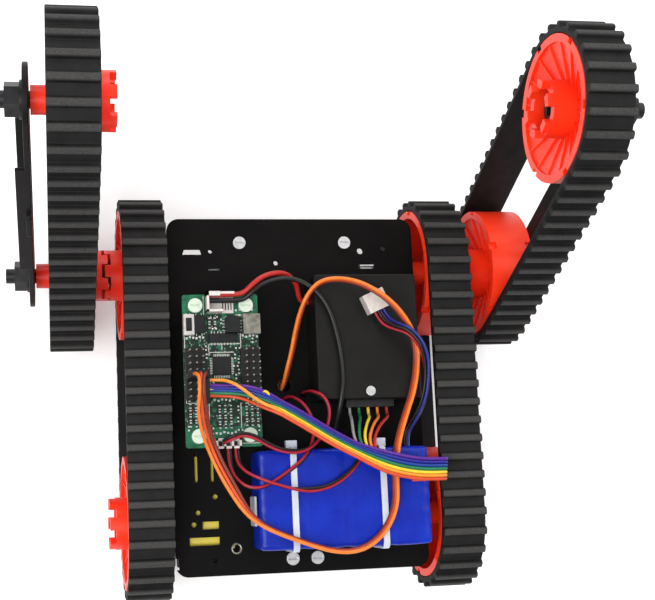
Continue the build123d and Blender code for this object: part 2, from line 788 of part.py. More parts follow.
tie_gap = tie_width / 2 + end_play
pad_edges = [battery_x[0] + battery_round]
for place in tie_places:
    pad_edges += [place - tie_gap, place + tie_gap]
pad_edges.append(battery_x[1] - battery_round)
with BuildPart() as battery_pad:
    for pad_start, pad_end in zip(pad_edges[::2], pad_edges[1::2]):
        block(
            (pad_start, pad_end),
            (battery_rear + battery_round, battery_front - battery_round),
            (deck_height, battery_low),
        )
write(battery_pad.part, "battery_pad")

with BuildPart() as cable_ties:
    for place in tie_places:
        tie_middle = ((battery_rear + battery_front) / 2, (battery_low + battery_top) / 2)
        tie_face = Plane(
            origin=(place - tie_width / 2, *tie_middle), x_dir=(0, 1, 0), z_dir=(1, 0, 0)
        )
        loop_size = (battery_size[1] + 2 * tie_play, battery_size[2] + 2 * tie_play)
        with BuildSketch(tie_face):
            RectangleRounded(
                loop_size[0] + 2 * tie_thickness,
                loop_size[1] + 2 * tie_thickness,
                battery_round + tie_play + tie_thickness,
            )
            RectangleRounded(*loop_size, battery_round + tie_play, mode=Mode.SUBTRACT)
        extrude(amount=tie_width)
        block(
            (place - tie_head[0] / 2, place + tie_head[0] / 2),
            (battery_front + tie_play, battery_front + tie_play + tie_head[1]),
            (battery_top - battery_round - tie_head[2], battery_top - battery_round),
        )
write(cable_ties.part, "cable_ties")

# ---------------------------------------------------------------- module under its cover
module_x = (module_middle[0] - module_size[0] / 2, module_middle[0] + module_size[0] / 2)
module_rear = mid_y + module_middle[1] - module_size[1] / 2
module_front = module_rear + module_size[1]
with BuildPart() as module_cover:
    block(module_x, (module_rear, module_front), (deck_height, module_top))
    fillet(module_cover.edges().filter_by(Axis.Z), radius=module_wall)
    fillet(module_cover.faces().sort_by(Axis.Z)[-1].edges(), radius=module_wall / 2)
    block(
        (module_x[0] + module_wall, module_x[1] - module_wall),
        (module_rear + module_wall, module_front - module_wall),
        (deck_height - 1, module_top - module_wall),
        Mode.SUBTRACT,
    )
    cover_hole = (cover_screw_low, module_top + 1)
    post(screw_radius * cover_screw_scale, *cover_screw, cover_hole, Mode.SUBTRACT)
write(module_cover.part, "module_cover")

sensor_size = (19.5, 3.0, 8.0)
sensor_inset = 12.0  # from the module's left face
sensor_lift = 4.0  # above the deck
with BuildPart() as sensor_socket:
    block(
        (module_x[0] + sensor_inset, module_x[0] + sensor_inset + sensor_size[0]),
        (module_rear - sensor_size[1], module_rear),
        (deck_height + sensor_lift, deck_height + sensor_lift + sensor_size[2]),
    )
write(sensor_socket.part, "sensor_socket")

with BuildPart() as balance_plug:
    plug_seat = (balance_plug_middle[0], mid_y + balance_plug_middle[1], module_top)
    with BuildSketch(Plane(origin=plug_seat).rotated((0, 0, balance_plug_turn))):
        Rectangle(balance_plug_size[0], balance_plug_size[1])
    extrude(amount=balance_plug_size[2])
write(balance_plug.part, "balance_plug")


# ---------------------------------------------------------------- plugs on the header pins
def header_plug(name, x_span, y_span, top, pins):
    """A plug pushed over header pins, with a hole for each pin."""
    with BuildPart() as plug:
        block(x_span, y_span, (header_top + plug_lift, top))
        for x, y in pins:
            half = pin_width / 2 + 3 * running_play
            block(
                (x - half, x + half),
                (y - half, y + half),
                (header_top - 1, pin_top + 2 * plug_lift),
                Mode.SUBTRACT,
            )
    write(plug.part, name)


servo_row = board_y + first_row - 4 * pin_pitch
servo_columns = [board_x + header_places[0] + step * pin_pitch for step in (-1, 0, 1)]
servo_plug_top = header_top + servo_plug_height
header_plug(
    "servo_plug",
    (servo_columns[0] - pin_pitch / 2, servo_columns[2] + pin_pitch / 2),
    (servo_row - pin_pitch / 2 + running_play, servo_row + pin_pitch / 2),
    servo_plug_top,
    [(x, servo_row) for x in servo_columns],
)
ribbon_rows = [board_y + first_row - row * pin_pitch for row in (5, 6, 7)]
ribbon_plug_x = (servo_columns[2] - pin_pitch / 2, servo_columns[2] + ribbon_plug_side)
ribbon_plug_front = servo_row - pin_pitch / 2 - running_play
ribbon_plug_y = (ribbon_plug_front - ribbon_plug_length, ribbon_plug_front)
header_plug(
    "ribbon_plug",
    ribbon_plug_x,
    ribbon_plug_y,
    header_top + ribbon_plug_height,
    [(servo_columns[2], y) for y in ribbon_rows],
)


# ---------------------------------------------------------------- wires and cables
def cord_path(points):
    """Straight runs joined by arcs as large as the runs beside each corner allow."""
    corners = [Vector(*point) for point in points]
    runs = [after - before for before, after in zip(corners, corners[1:])]
    radii = []
    for before, after in zip(runs, runs[1:]):
        turn = before.get_angle(after)
        radii.append(corner_share * min(before.length, after.length) / tan(radians(turn / 2)))
    with BuildLine() as line:
        FilletPolyline(*corners, radius=radii)
    return line.wires()[0], radii


def tubes(name, diameter, routes):
    """Round wires, one solid for each route, with y counted from the chassis's middle."""
    total = 0.0
    with BuildPart() as cord:
        for route in routes:
            path, radii = cord_path([(x, mid_y + y, z) for x, y, z in route])
            with BuildSketch(Plane(origin=path @ 0, z_dir=path % 0)):
                Circle(diameter / 2)
            sweep(path=path)
            total += path.length
            print(name, "length", round(path.length, 1), "radii", [round(radius, 1) for radius in radii])
    share = cord.part.volume / (pi * diameter**2 / 4 * total)
    print(name, "volume over section times length", round(share, 4))
    write(cord.part, name)


servo_exit = (servo_columns[1], servo_row - mid_y, servo_plug_top)
tubes("servo_lead", servo_lead, [[
    servo_exit,
    (servo_exit[0], servo_exit[1], 78.4),
    (-43.9, 0.6, 81.6),
    (-43.8, -4.8, 80.4),
    (-43.2, -9.4, 75.8),
    (-41.8, -15.2, 70.8),
    (-39.2, -22.4, 67.2),
    (-35.5, -30.8, 66.4),
    (-30.5, -40.0, 66.6),
    (-25.6, -48.0, 66.3),
    (-19.0, -53.4, 66.2),
    (-10.8, -57.0, 66.0),
    (-2.0, -60.4, 66.2),
    (6.8, -63.2, 66.0),
    (15.6, -63.6, 66.2),
    (23.2, -60.2, 66.0),
    (29.0, -53.8, 66.2),
    (32.2, -46.0, 65.6),
    (32.6, -37.2, 65.2),
    (33.0, -28.4, 65.3),
    (35.2, -19.4, 64.8),
    (38.8, -10.8, 63.6),
    (42.4, -2.4, 62.6),
    (44.4, 6.4, 62.2),
    (44.8, 14.6, 62.8),
    (42.4, 21.4, 64.8),
    (38.2, 27.4, 67.2),
    (33.2, 32.8, 67.8),
    (27.2, 37.2, 67.8),
    (20.6, 40.6, 66.6),
    (13.2, 42.0, 65.8),
    (6.2, 41.0, 65.6),
    (1.6, 36.4, 64.4),
    (-1.0, 29.6, 60.8),
    (-2.2, 22.4, 56.2),
    (-3.2, 15.2, 52.8),
    (-4.8, 8.6, 50.4),
    (-5.6, 3.2, 46.6),
    (-5.4, 1.6, 40.6),
    (-5.2, 4.4, 35.6),
    (-4.4, 11.0, 33.0),
    (-2.0, 19.0, 32.4),
    (1.2, 27.2, 32.0),
    (3.8, 35.4, 31.2),
    (4.2, 42.8, 30.0),
    (1.2, 48.8, 29.2),
    (-4.6, 50.5, 28.6),
    (-servo_inner, 50.5, 28.6),
]])

power_wires = (board_x + power_socket[0][1], board_top + 3.6)
motor_plug_rear = motor_socket_rear - mid_y
tubes("power_black", power_wire, [[
    (power_wires[0], 34.6, power_wires[1]),
    (-24.0, 34.6, power_wires[1]),
    (-20.6, 37.6, 63.0),
    (-16.4, 40.8, 63.2),
    (-10.6, 42.8, 62.4),
    (-4.4, 43.2, 61.6),
    (1.4, 41.2, 61.4),
    (6.6, 37.0, 61.6),
    (10.4, 31.0, 61.3),
    (12.6, 23.2, 61.4),
    (14.2, 14.6, 61.3),
    (14.8, 5.6, 61.5),
    (14.0, -2.6, 62.2),
    (12.8, -9.4, 60.2),
    (12.2, -14.6, 56.2),
    (12.3, -19.6, 53.4),
    (12.3, battery_front - mid_y, 53.4),
]])
tubes("power_red", power_wire, [[
    (power_wires[0], 37.0, power_wires[1]),
    (-24.2, 37.0, power_wires[1]),
    (-20.8, 40.2, 63.2),
    (-16.6, 43.6, 63.2),
    (-10.8, 45.6, 61.6),
    (-5.0, 45.6, 58.2),
    (-0.8, 42.6, 54.0),
    (0.6, 38.4, 50.4),
    (2.2, 35.6, 48.2),
    (module_x[0], 35.6, 48.2),
]])

can_front = box_front + can_length - mid_y
can_middle = (side_inner + box_inner) / 2
tubes("motor_wire_a", wire, [[
    (-33.6, -20.4, board_top + motor_socket[3]),
    (-33.6, -20.4, 64.4),
    (-30.6, -19.0, 66.4),
    (-26.4, -17.8, 66.6),
    (-21.6, -19.2, 66.0),
    (-16.8, -22.2, 65.6),
    (-11.4, -24.6, 65.4),
    (-5.2, -25.4, 65.6),
    (0.4, -23.4, 65.2),
    (4.8, -19.4, 64.0),
    (7.6, -14.2, 63.0),
    (8.4, -8.4, 62.8),
    (6.4, -3.8, 62.4),
    (3.4, -2.0, 59.6),
    (2.4, -1.4, 55.4),
    (2.5, -1.2, 50.0),
    (2.5, -1.1, 44.0),
    (3.0, -0.6, 38.8),
    (6.4, 0.8, 34.8),
    (12.4, 3.4, 33.0),
    (19.6, 6.8, 32.2),
    (27.0, 10.2, 31.6),
    (33.8, 11.6, 31.2),
    (38.9, 8.8, 31.0),
    (38.9, can_front, 31.0),
]])
tubes("motor_wire_b", wire, [[
    (-31.2, motor_plug_rear, 59.6),
    (-31.2, -27.0, 59.6),
    (-30.6, -31.6, 61.0),
    (-28.4, -35.8, 62.8),
    (-24.4, -38.4, 64.6),
    (-19.4, -38.4, 65.2),
    (-14.0, -35.6, 65.2),
    (-8.6, -32.0, 65.4),
    (-3.8, -28.6, 65.2),
    (-0.2, -24.6, 63.4),
    (2.0, -19.8, 61.2),
    (2.4, -14.4, 61.0),
    (0.8, -9.2, 60.8),
    (-1.8, -5.4, 59.0),
    (-4.2, -3.4, 55.4),
    (-5.2, -3.0, 50.2),
    (-5.4, -3.4, 44.0),
    (-6.2, -3.4, 38.6),
    (-9.6, -1.6, 34.6),
    (-15.4, 2.2, 33.0),
    (-22.2, 6.8, 32.2),
    (-29.0, 10.6, 31.6),
    (-34.6, 10.8, 31.2),
    (-can_middle, 7.2, 31.0),
    (-can_middle, can_front, 31.0),
]])
tubes("motor_wire_c", wire, [[
    (-28.2, motor_plug_rear, 59.6),
    (-28.2, -26.6, 59.6),
    (-27.4, -30.0, 62.2),
    (-24.8, -33.0, 65.0),
    (-20.0, -35.4, 67.2),
    (-13.8, -37.8, 67.4),
    (-6.8, -39.6, 67.2),
    (0.6, -40.0, 66.4),
    (7.4, -38.4, 65.6),
    (13.2, -35.0, 65.4),
    (17.8, -30.4, 65.4),
    (20.8, -25.6, 64.2),
    (22.6, -21.8, 60.2),
    (23.0, -20.0, 54.8),
    (23.0, -19.8, 48.4),
    (23.0, -19.6, 41.8),
    (23.2, -17.8, 36.4),
    (23.8, -13.0, 33.6),
    (24.4, -6.4, 32.6),
    (25.4, 0.4, 32.0),
    (28.0, 6.0, 31.6),
    (32.2, 8.2, 31.2),
    (34.6, 6.2, 31.0),
    (34.6, can_front, 31.0),
]])

plug_back = balance_plug_size[1] / 2
lead_turn = radians(balance_plug_turn)
balance_exit = (
    balance_plug_middle[0] + plug_back * sin(lead_turn),
    balance_plug_middle[1] - plug_back * cos(lead_turn),
    module_top + balance_plug_size[2] / 2,
)
tubes("balance_lead", balance_lead, [[
    balance_exit,
    (balance_exit[0] + 4.6 * sin(lead_turn), balance_exit[1] - 4.6 * cos(lead_turn), balance_exit[2]),
    (36.4, 22.8, 66.0),
    (40.8, 20.6, 68.8),
    (45.0, 15.6, 69.0),
    (47.6, 9.2, 66.6),
    (48.2, 2.2, 64.4),
    (47.2, -5.0, 63.2),
    (45.2, -11.4, 59.4),
    (42.4, -16.6, 55.6),
    (41.2, -20.0, 54.6),
    (41.2, battery_front - mid_y, 54.6),
]])

# The flat ribbon folds back under itself at the right and splits into its strands.
ribbon_back = 68.4
ribbon_fold = 51.9
ribbon_end = 38.4
ribbon_exit_y = (ribbon_plug_y[0] + ribbon_plug_y[1]) / 2 - mid_y
ribbon_points = [
    (ribbon_plug_x[1], ribbon_exit_y, 65.4),
    (-34.6, ribbon_exit_y, 65.4),
    (-28.6, -1.8, 67.8),
    (-21.0, -4.4, 70.2),
    (-12.4, -8.4, 70.9),
    (-3.2, -13.8, 71.0),
    (6.4, -20.0, 70.9),
    (16.6, -25.6, 71.0),
    (27.0, -30.0, 70.9),
    (36.2, -32.6, 71.0),
    (44.0, -33.6, 70.9),
    (ribbon_fold, -33.6, 70.9),
    (ribbon_fold, -33.6, ribbon_back),
    (ribbon_end, -33.6, ribbon_back),
]
ribbon_path, ribbon_radii = cord_path([(x, mid_y + y, z) for x, y, z in ribbon_points])
print("ribbon_cable length", round(ribbon_path.length, 1), "radii", [round(r, 1) for r in ribbon_radii])
with BuildPart() as ribbon_cable:
    with BuildSketch(Plane(origin=ribbon_path @ 0, x_dir=(0, 1, 0), z_dir=ribbon_path % 0)):
        Rectangle(*ribbon)
    sweep(path=ribbon_path)
ribbon_share = ribbon_cable.part.volume / (ribbon[0] * ribbon[1] * ribbon_path.length)
print("ribbon_cable volume over section times length", round(ribbon_share, 4))
write(ribbon_cable.part, "ribbon_cable")

tail_rear = module_rear - sensor_size[1] - mid_y
tubes("ribbon_tails", tail_wire, [
    [
        (ribbon_end, -36.2 + 1.3 * tail, ribbon_back),
        (33.6, -36.2 + 1.3 * tail, ribbon_back),
        (27.8, -35.2 + 1.4 * tail, 68.5),
        (22.4 + 0.6 * tail, -31.4 + 1.2 * tail, 68.3),
        (18.6 + 1.5 * tail, -26.0 + 0.6 * tail, 67.4),
        (17.2 + 2.1 * tail, -20.0, 64.4),
        (18.0 + 2.9 * tail, -15.0, 59.8),
        (19.0 + 3.8 * tail, -12.0, 55.0),
        (19.2 + 3.8 * tail, -10.6, 52.2),
        (19.2 + 3.8 * tail, tail_rear, 52.2),
    ]
    for tail in range(5)
])
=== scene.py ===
# %% [markdown]
# # A tracked robot with two raised flippers
# This lesson dresses a finished model of a small tracked robot. The model gives every rigid
# piece its shape and size, so the work here is mostly finish: what each surface is made of, how
# its edges catch light, and the wires, which only look right as smooth, drooping lines.

# %% Load the model
import json
import math

import bmesh
import bpy
from mathutils import Matrix, Vector, noise


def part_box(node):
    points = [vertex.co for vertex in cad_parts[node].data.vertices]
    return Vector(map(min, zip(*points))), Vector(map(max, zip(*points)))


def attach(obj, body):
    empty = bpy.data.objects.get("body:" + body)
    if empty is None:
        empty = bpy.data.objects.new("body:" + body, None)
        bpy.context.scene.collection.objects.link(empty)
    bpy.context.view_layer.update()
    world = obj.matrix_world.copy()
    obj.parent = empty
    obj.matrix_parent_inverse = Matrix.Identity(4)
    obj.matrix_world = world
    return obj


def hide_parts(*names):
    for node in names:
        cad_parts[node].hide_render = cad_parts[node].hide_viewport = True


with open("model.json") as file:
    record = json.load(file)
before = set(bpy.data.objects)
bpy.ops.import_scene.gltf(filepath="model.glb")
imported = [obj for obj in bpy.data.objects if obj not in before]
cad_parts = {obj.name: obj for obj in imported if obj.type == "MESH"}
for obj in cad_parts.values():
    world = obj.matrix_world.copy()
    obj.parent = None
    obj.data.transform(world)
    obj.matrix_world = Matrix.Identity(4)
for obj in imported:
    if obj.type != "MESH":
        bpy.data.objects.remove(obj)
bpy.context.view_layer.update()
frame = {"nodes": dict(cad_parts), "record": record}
nodes = frame["nodes"]
MM = 0.001

# %% [markdown]
# Most places in this scene are counted from the middle of the chassis, because that is where
# the robot's own drawing starts. The middle is read from the tray, so nothing here has to be
# moved when the model's outline changes.

# %% Places on the chassis
tray_low, tray_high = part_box("chassis_tray")
CHASSIS_Y = (tray_low.y + tray_high.y) / 2
DECK_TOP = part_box("top_plate")[1].z


def at(x, y, z):
    """A place in the scene from millimetres right of, in front of and above the chassis's middle."""
    return Vector((x * MM, y * MM + CHASSIS_Y, z * MM))


print("chassis middle", round(CHASSIS_Y, 4), "deck", round(DECK_TOP, 4))

# %% [markdown]
# The picture was taken from above, a little behind the robot and to its left, from about half
# a metre. A long lens there gives the same lean to the flippers. Most of the framing comes
# from turning the camera, and only a small shift is left to the lens.

# %% Camera
CAMERA_PLACE = (-97.8, -39.1, 502.4)
CAMERA_TURN = (7.53, -9.32, -0.89)
FOCAL_PIXELS = 1157.0
SHIFT = (0.13, 0.06)
PICTURE = (655, 600)
SENSOR_WIDTH = 36.0  # millimetres

camera_data = bpy.data.cameras.new("camera")
camera = bpy.data.objects.new("camera", camera_data)
bpy.context.scene.collection.objects.link(camera)
camera.location = at(*CAMERA_PLACE)
camera.rotation_mode = "ZYX"
camera.rotation_euler = [math.radians(angle) for angle in CAMERA_TURN]
camera_data.sensor_width = SENSOR_WIDTH
camera_data.lens = FOCAL_PIXELS / PICTURE[0] * SENSOR_WIDTH
camera_data.shift_x, camera_data.shift_y = SHIFT
camera_data.clip_start = 0.01
camera_data.clip_end = 20.0
bpy.context.scene.camera = camera
print("lens", round(camera_data.lens, 1))

# %% [markdown]
# Every material, the floor's and the sky's too, is a tree of nodes. Three helpers keep the cells
# below short: one empties a tree, one adds a math node and one adds a noise texture.

# %% Helpers for node trees
def new_tree(owner):
    """The owner's node tree, emptied."""
    owner.use_nodes = True
    tree = owner.node_tree
    tree.nodes.clear()
    return tree


def math_node(tree, operation, first, second=None, third=None):
    """A math node whose inputs are sockets or numbers."""
    node = tree.nodes.new("ShaderNodeMath")
    node.operation = operation
    for index, value in enumerate((first, second, third)):
        if value is None:
            continue
        if isinstance(value, (int, float)):
            node.inputs[index].default_value = value
        else:
            tree.links.new(value, node.inputs[index])
    return node.outputs[0]


def noise_node(tree, vector, scale, detail=3.0, rough=0.55):
    """A noise texture on a vector, with its scale as a socket or a number."""
    node = tree.nodes.new("ShaderNodeTexNoise")
    tree.links.new(vector, node.inputs["Vector"])
    node.inputs["Detail"].default_value = detail
    node.inputs["Roughness"].default_value = rough
    if isinstance(scale, (int, float)):
        node.inputs["Scale"].default_value = scale
    else:
        tree.links.new(scale, node.inputs["Scale"])
    return node.outputs["Fac"]


# %% [markdown]
# A pale floor, as in a product picture. Its paper takes the robot's shadow and also glows a
# little, so that the background is white. The camera, mirrors and glass see all of the glow, and
# every other ray sees half of it, which keeps the light from below the robot low.

# %% Floor
FLOOR_SIZE = 6.0
PAPER_COLOUR = (0.86, 0.86, 0.86, 1)
PAPER_GLOW = 0.25
GLOW_FOR_ALL = 0.5  # the share of the glow that every ray sees

floor_bm = bmesh.new()
bmesh.ops.create_grid(floor_bm, x_segments=1, y_segments=1, size=FLOOR_SIZE / 2)
floor_mesh = bpy.data.meshes.new("floor")
floor_bm.to_mesh(floor_mesh)
floor_bm.free()
floor = bpy.data.objects.new("floor", floor_mesh)
bpy.context.scene.collection.objects.link(floor)
floor_material = bpy.data.materials.new("floor_paper")
tree = new_tree(floor_material)
paper = tree.nodes.new("ShaderNodeBsdfDiffuse")
paper.inputs["Color"].default_value = PAPER_COLOUR
glow = tree.nodes.new("ShaderNodeEmission")
seen = tree.nodes.new("ShaderNodeLightPath")
ray_share = GLOW_FOR_ALL
for ray in ("Is Camera Ray", "Is Glossy Ray", "Is Transmission Ray"):
    ray_share = math_node(tree, "MAXIMUM", seen.outputs[ray], ray_share)
tree.links.new(math_node(tree, "MULTIPLY", ray_share, PAPER_GLOW), glow.inputs["Strength"])
both = tree.nodes.new("ShaderNodeAddShader")
tree.links.new(paper.outputs[0], both.inputs[0])
tree.links.new(glow.outputs[0], both.inputs[1])
tree.links.new(both.outputs[0], tree.nodes.new("ShaderNodeOutputMaterial").inputs[0])
floor_mesh.materials.append(floor_material)
print("floor", FLOOR_SIZE, "m")

# %% [markdown]
# An even white sky fills the shadows, and three large lamps give the wide, gentle highlights
# that plastic and rubber need.

# %% Sky and lamps
SKY_LEVEL = 0.55
LAMPS = [  # name, place in metres, size, watts
    ("key", (-0.55, -0.35, 1.1), 0.9, 14.0),
    ("fill", (0.8, 0.5, 0.9), 1.2, 8.0),
    ("back", (0.1, 1.2, 0.7), 0.8, 6.0),
]
world = bpy.data.worlds.new("studio")
bpy.context.scene.world = world
tree = new_tree(world)
sky = tree.nodes.new("ShaderNodeBackground")
sky.inputs["Color"].default_value = (1, 1, 1, 1)
sky.inputs["Strength"].default_value = SKY_LEVEL
tree.links.new(sky.outputs[0], tree.nodes.new("ShaderNodeOutputWorld").inputs[0])
for name, place, size, watts in LAMPS:
    lamp_data = bpy.data.lights.new(name, "AREA")
    lamp_data.size = size
    lamp_data.energy = watts
    lamp = bpy.data.objects.new(name, lamp_data)
    lamp.location = place
    lamp.rotation_mode = "QUATERNION"
    lamp.rotation_quaternion = (-Vector(place)).to_track_quat("-Z", "Y")
    bpy.context.scene.collection.objects.link(lamp)
bpy.context.scene.view_settings.view_transform = "Standard"
print("lamps", len(LAMPS))

# %% [markdown]
# Every finish shares a few effects, so they are node groups that are built once. `mottle` gives
# a soft blotchy mask and a fine grain, both in the surface's own millimetres. `dust` gives a
# mask of what settles on faces that look up. Only masks leave a group. The shader itself stays
# in each material.

# %% Shared shader groups
def new_group(name, inputs, outputs):
    """A shader node group with float sockets, its input node and its output node."""
    group = bpy.data.node_groups.new(name, "ShaderNodeTree")
    for title, value in inputs:
        socket = group.interface.new_socket(title, in_out="INPUT", socket_type="NodeSocketFloat")
        socket.default_value = value
    for title in outputs:
        group.interface.new_socket(title, in_out="OUTPUT", socket_type="NodeSocketFloat")
    return group, group.nodes.new("NodeGroupInput"), group.nodes.new("NodeGroupOutput")


mottle, mottle_in, mottle_out = new_group(
    "mottle", [("Blotch mm", 12.0), ("Grain mm", 0.5)], ["Blotch", "Grain"]
)
place = mottle.nodes.new("ShaderNodeTexCoord").outputs["Object"]
for title, size_socket, contrast in (("Blotch", "Blotch mm", 2.2), ("Grain", "Grain mm", 1.4)):
    per_metre = math_node(mottle, "DIVIDE", 1 / MM, mottle_in.outputs[size_socket])
    value = noise_node(mottle, place, per_metre)
    centred = math_node(mottle, "SUBTRACT", value, 0.5)
    spread = math_node(mottle, "MULTIPLY_ADD", centred, contrast, 0.5)
    spread.node.use_clamp = True
    mottle.links.new(spread, mottle_out.inputs[title])

dust, dust_in, dust_out = new_group("dust", [("Amount", 0.3), ("Patch mm", 9.0)], ["Dust"])
up = dust.nodes.new("ShaderNodeSeparateXYZ")
dust.links.new(dust.nodes.new("ShaderNodeTexCoord").outputs["Normal"], up.inputs[0])
facing = math_node(dust, "POWER", math_node(dust, "MAXIMUM", up.outputs["Z"], 0.0), 2.0)
patch_scale = math_node(dust, "DIVIDE", 1 / MM, dust_in.outputs["Patch mm"])
place = dust.nodes.new("ShaderNodeTexCoord").outputs["Object"]
patches = noise_node(dust, place, patch_scale, detail=6.0, rough=0.7)
settled = math_node(dust, "MULTIPLY", facing, patches)
dust.links.new(math_node(dust, "MULTIPLY", settled, dust_in.outputs["Amount"]), dust_out.inputs["Dust"])
print("groups", [group.name for group in bpy.data.node_groups])

# %% [markdown]
# One function makes the common finish: two nearby colours that the blotches mix, a roughness
# that the grain varies, a fine bump, and a little dust. Each material then differs in its
# values, as it does on the real robot, where most parts are moulded or coated.

# %% The common finish
MATERIALS = {}
DUST_COLOUR = (0.55, 0.53, 0.5)
DUST_PATCH = 7.0  # millimetres
# Paler colour of the belts' rib tops: partly real wear, partly a painted highlight.
RIB_TOP_WEAR_AND_HIGHLIGHT = (0.07, 0.068, 0.066)


def group_node(tree, group, **values):
    """Places a shared group and sets its inputs, with underscores for spaces in their names."""
    node = tree.nodes.new("ShaderNodeGroup")
    node.node_tree = group
    for title, value in values.items():
        node.inputs[title.replace("_", " ")].default_value = value
    return node


def mix_colour(tree, mask, first, second):
    """Mixes two colours, each a socket or a tuple, by a mask."""
    node = tree.nodes.new("ShaderNodeMix")
    node.data_type = "RGBA"
    tree.links.new(mask, node.inputs["Factor"])
    for socket, value in ((node.inputs[6], first), (node.inputs[7], second)):
        if isinstance(value, tuple):
            socket.default_value = (*value, 1)
        else:
            tree.links.new(value, socket)
    return node.outputs[2]


def add_finish(
    name, colour, second, rough, rough_spread=0.1, metallic=0.0, blotch=12.0, grain=0.5,
    bump=0.02, dusty=0.0, coat=0.0, shine=0.5, extra=None,
):
    """Adds a material of two mottled colours. bump is in millimetres, and extra, a function, may
    change the colour."""
    material = bpy.data.materials.new(name)
    tree = new_tree(material)
    shader = tree.nodes.new("ShaderNodeBsdfPrincipled")
    shader.inputs["Metallic"].default_value = metallic
    shader.inputs["Coat Weight"].default_value = coat
    shader.inputs["Specular IOR Level"].default_value = shine
    spots = group_node(tree, mottle, Blotch_mm=blotch, Grain_mm=grain)
    base = mix_colour(tree, spots.outputs["Blotch"], colour, second)
    if extra:
        base = extra(tree, base, spots)
    if dusty:
        settled_dust = group_node(tree, dust, Amount=dusty, Patch_mm=DUST_PATCH)
        base = mix_colour(tree, settled_dust.outputs["Dust"], base, DUST_COLOUR)
    tree.links.new(base, shader.inputs["Base Color"])
    least = rough - rough_spread / 2
    swing = math_node(tree, "MULTIPLY_ADD", spots.outputs["Grain"], rough_spread, least)
    tree.links.new(swing, shader.inputs["Roughness"])
    relief = tree.nodes.new("ShaderNodeBump")
    relief.inputs["Distance"].default_value = bump * MM
    tree.links.new(spots.outputs["Grain"], relief.inputs["Height"])
    tree.links.new(relief.outputs[0], shader.inputs["Normal"])
    tree.links.new(shader.outputs[0], tree.nodes.new("ShaderNodeOutputMaterial").inputs[0])
    MATERIALS[name] = material


def wear_and_highlight_on_attribute(tree, base, spots):
    """Lightens what the mesh marks, such as the tops of a belt's ribs, partly for wear and partly as a
    painted highlight.
    """
    mark = tree.nodes.new("ShaderNodeAttribute")
    mark.attribute_name = "rib_wear_and_highlight"
    patchy = math_node(tree, "MULTIPLY", mark.outputs["Fac"], spots.outputs["Grain"])
    return mix_colour(tree, patchy, base, RIB_TOP_WEAR_AND_HIGHLIGHT)


# %% [markdown]
# Each finish of the rigid pieces follows: its two colours, its roughness and how far that
# varies, and what else sets it apart. Blotches and grain are in millimetres.

# %% Finishes of the rigid pieces
add_finish(
    "black_sheet", (0.0035, 0.0033, 0.0032), (0.006, 0.0056, 0.0054), 0.5, 0.16, blotch=25,
    grain=0.35, bump=0.01, dusty=0.003, shine=0.04,
)
add_finish(
    "arm_sheet", (0.004, 0.0038, 0.0038), (0.008, 0.0076, 0.0076), 0.45, 0.14, blotch=18, grain=0.4,
    bump=0.012, dusty=0.006, shine=0.12,
)
add_finish(
    "dark_steel", (0.01, 0.01, 0.011), (0.024, 0.024, 0.026), 0.4, 0.2, metallic=0.4, blotch=4,
    grain=0.3, bump=0.006, shine=0.3,
)
add_finish(
    "steel", (0.52, 0.52, 0.52), (0.68, 0.68, 0.69), 0.38, 0.16, metallic=1.0, blotch=2, grain=0.4,
    bump=0.004,
)
add_finish(
    "motor_steel", (0.42, 0.42, 0.44), (0.54, 0.54, 0.56), 0.32, 0.18, metallic=1.0, blotch=6,
    grain=0.4, bump=0.004,
)
add_finish(
    "bronze", (0.5, 0.33, 0.16), (0.6, 0.42, 0.22), 0.45, 0.2, metallic=0.9, blotch=3, grain=0.3,
    bump=0.006,
)
add_finish(
    "yellow_plastic", (0.62, 0.5, 0.04), (0.7, 0.58, 0.07), 0.42, 0.12, blotch=14, grain=0.5,
    bump=0.01,
)
add_finish(
    "servo_plastic", (0.012, 0.014, 0.022), (0.02, 0.023, 0.032), 0.35, 0.15, blotch=9, grain=0.4,
    bump=0.01, shine=0.4,
)
add_finish(
    "wheel_orange", (0.84, 0.025, 0.004), (0.93, 0.042, 0.007), 0.4, 0.12, blotch=16, grain=0.6,
    bump=0.008, coat=0.05, shine=0.34,
)
add_finish(
    "belt_rubber", (0.006, 0.0058, 0.0058), (0.011, 0.0107, 0.0107), 0.66, 0.16, blotch=6,
    grain=0.5, bump=0.04, dusty=0.01, shine=0.16, extra=wear_and_highlight_on_attribute,
)
add_finish(
    "nylon", (0.5, 0.6, 0.48), (0.6, 0.68, 0.57), 0.42, 0.12, blotch=1.6, grain=0.3, bump=0.006,
)
add_finish(
    "header_plastic", (0.005, 0.005, 0.005), (0.01, 0.01, 0.01), 0.42, 0.15, blotch=3, grain=0.2,
    bump=0.006, shine=0.3,
)
add_finish(
    "pin_metal", (0.22, 0.2, 0.18), (0.34, 0.32, 0.29), 0.42, 0.1, metallic=1.0, blotch=1,
    grain=0.3, bump=0.003,
)
add_finish(
    "solder", (0.5, 0.52, 0.48), (0.72, 0.74, 0.7), 0.4, 0.2, metallic=0.7, blotch=1, grain=0.3,
    bump=0.003,
)
add_finish(
    "chip_plastic", (0.005, 0.0055, 0.006), (0.01, 0.011, 0.012), 0.5, 0.14, blotch=3, grain=0.2,
    bump=0.006, shine=0.22,
)
add_finish(
    "small_parts", (0.008, 0.009, 0.008), (0.05, 0.045, 0.035), 0.5, 0.2, blotch=1.2, grain=0.3,
    bump=0.006, shine=0.3,
)
add_finish(
    "socket_white", (0.52, 0.47, 0.44), (0.64, 0.6, 0.56), 0.42, 0.12, blotch=2.5, grain=0.3,
    bump=0.006,
)
add_finish(
    "socket_metal", (0.14, 0.13, 0.1), (0.36, 0.35, 0.3), 0.36, 0.16, metallic=0.9, blotch=2.4,
    grain=0.5, bump=0.003,
)
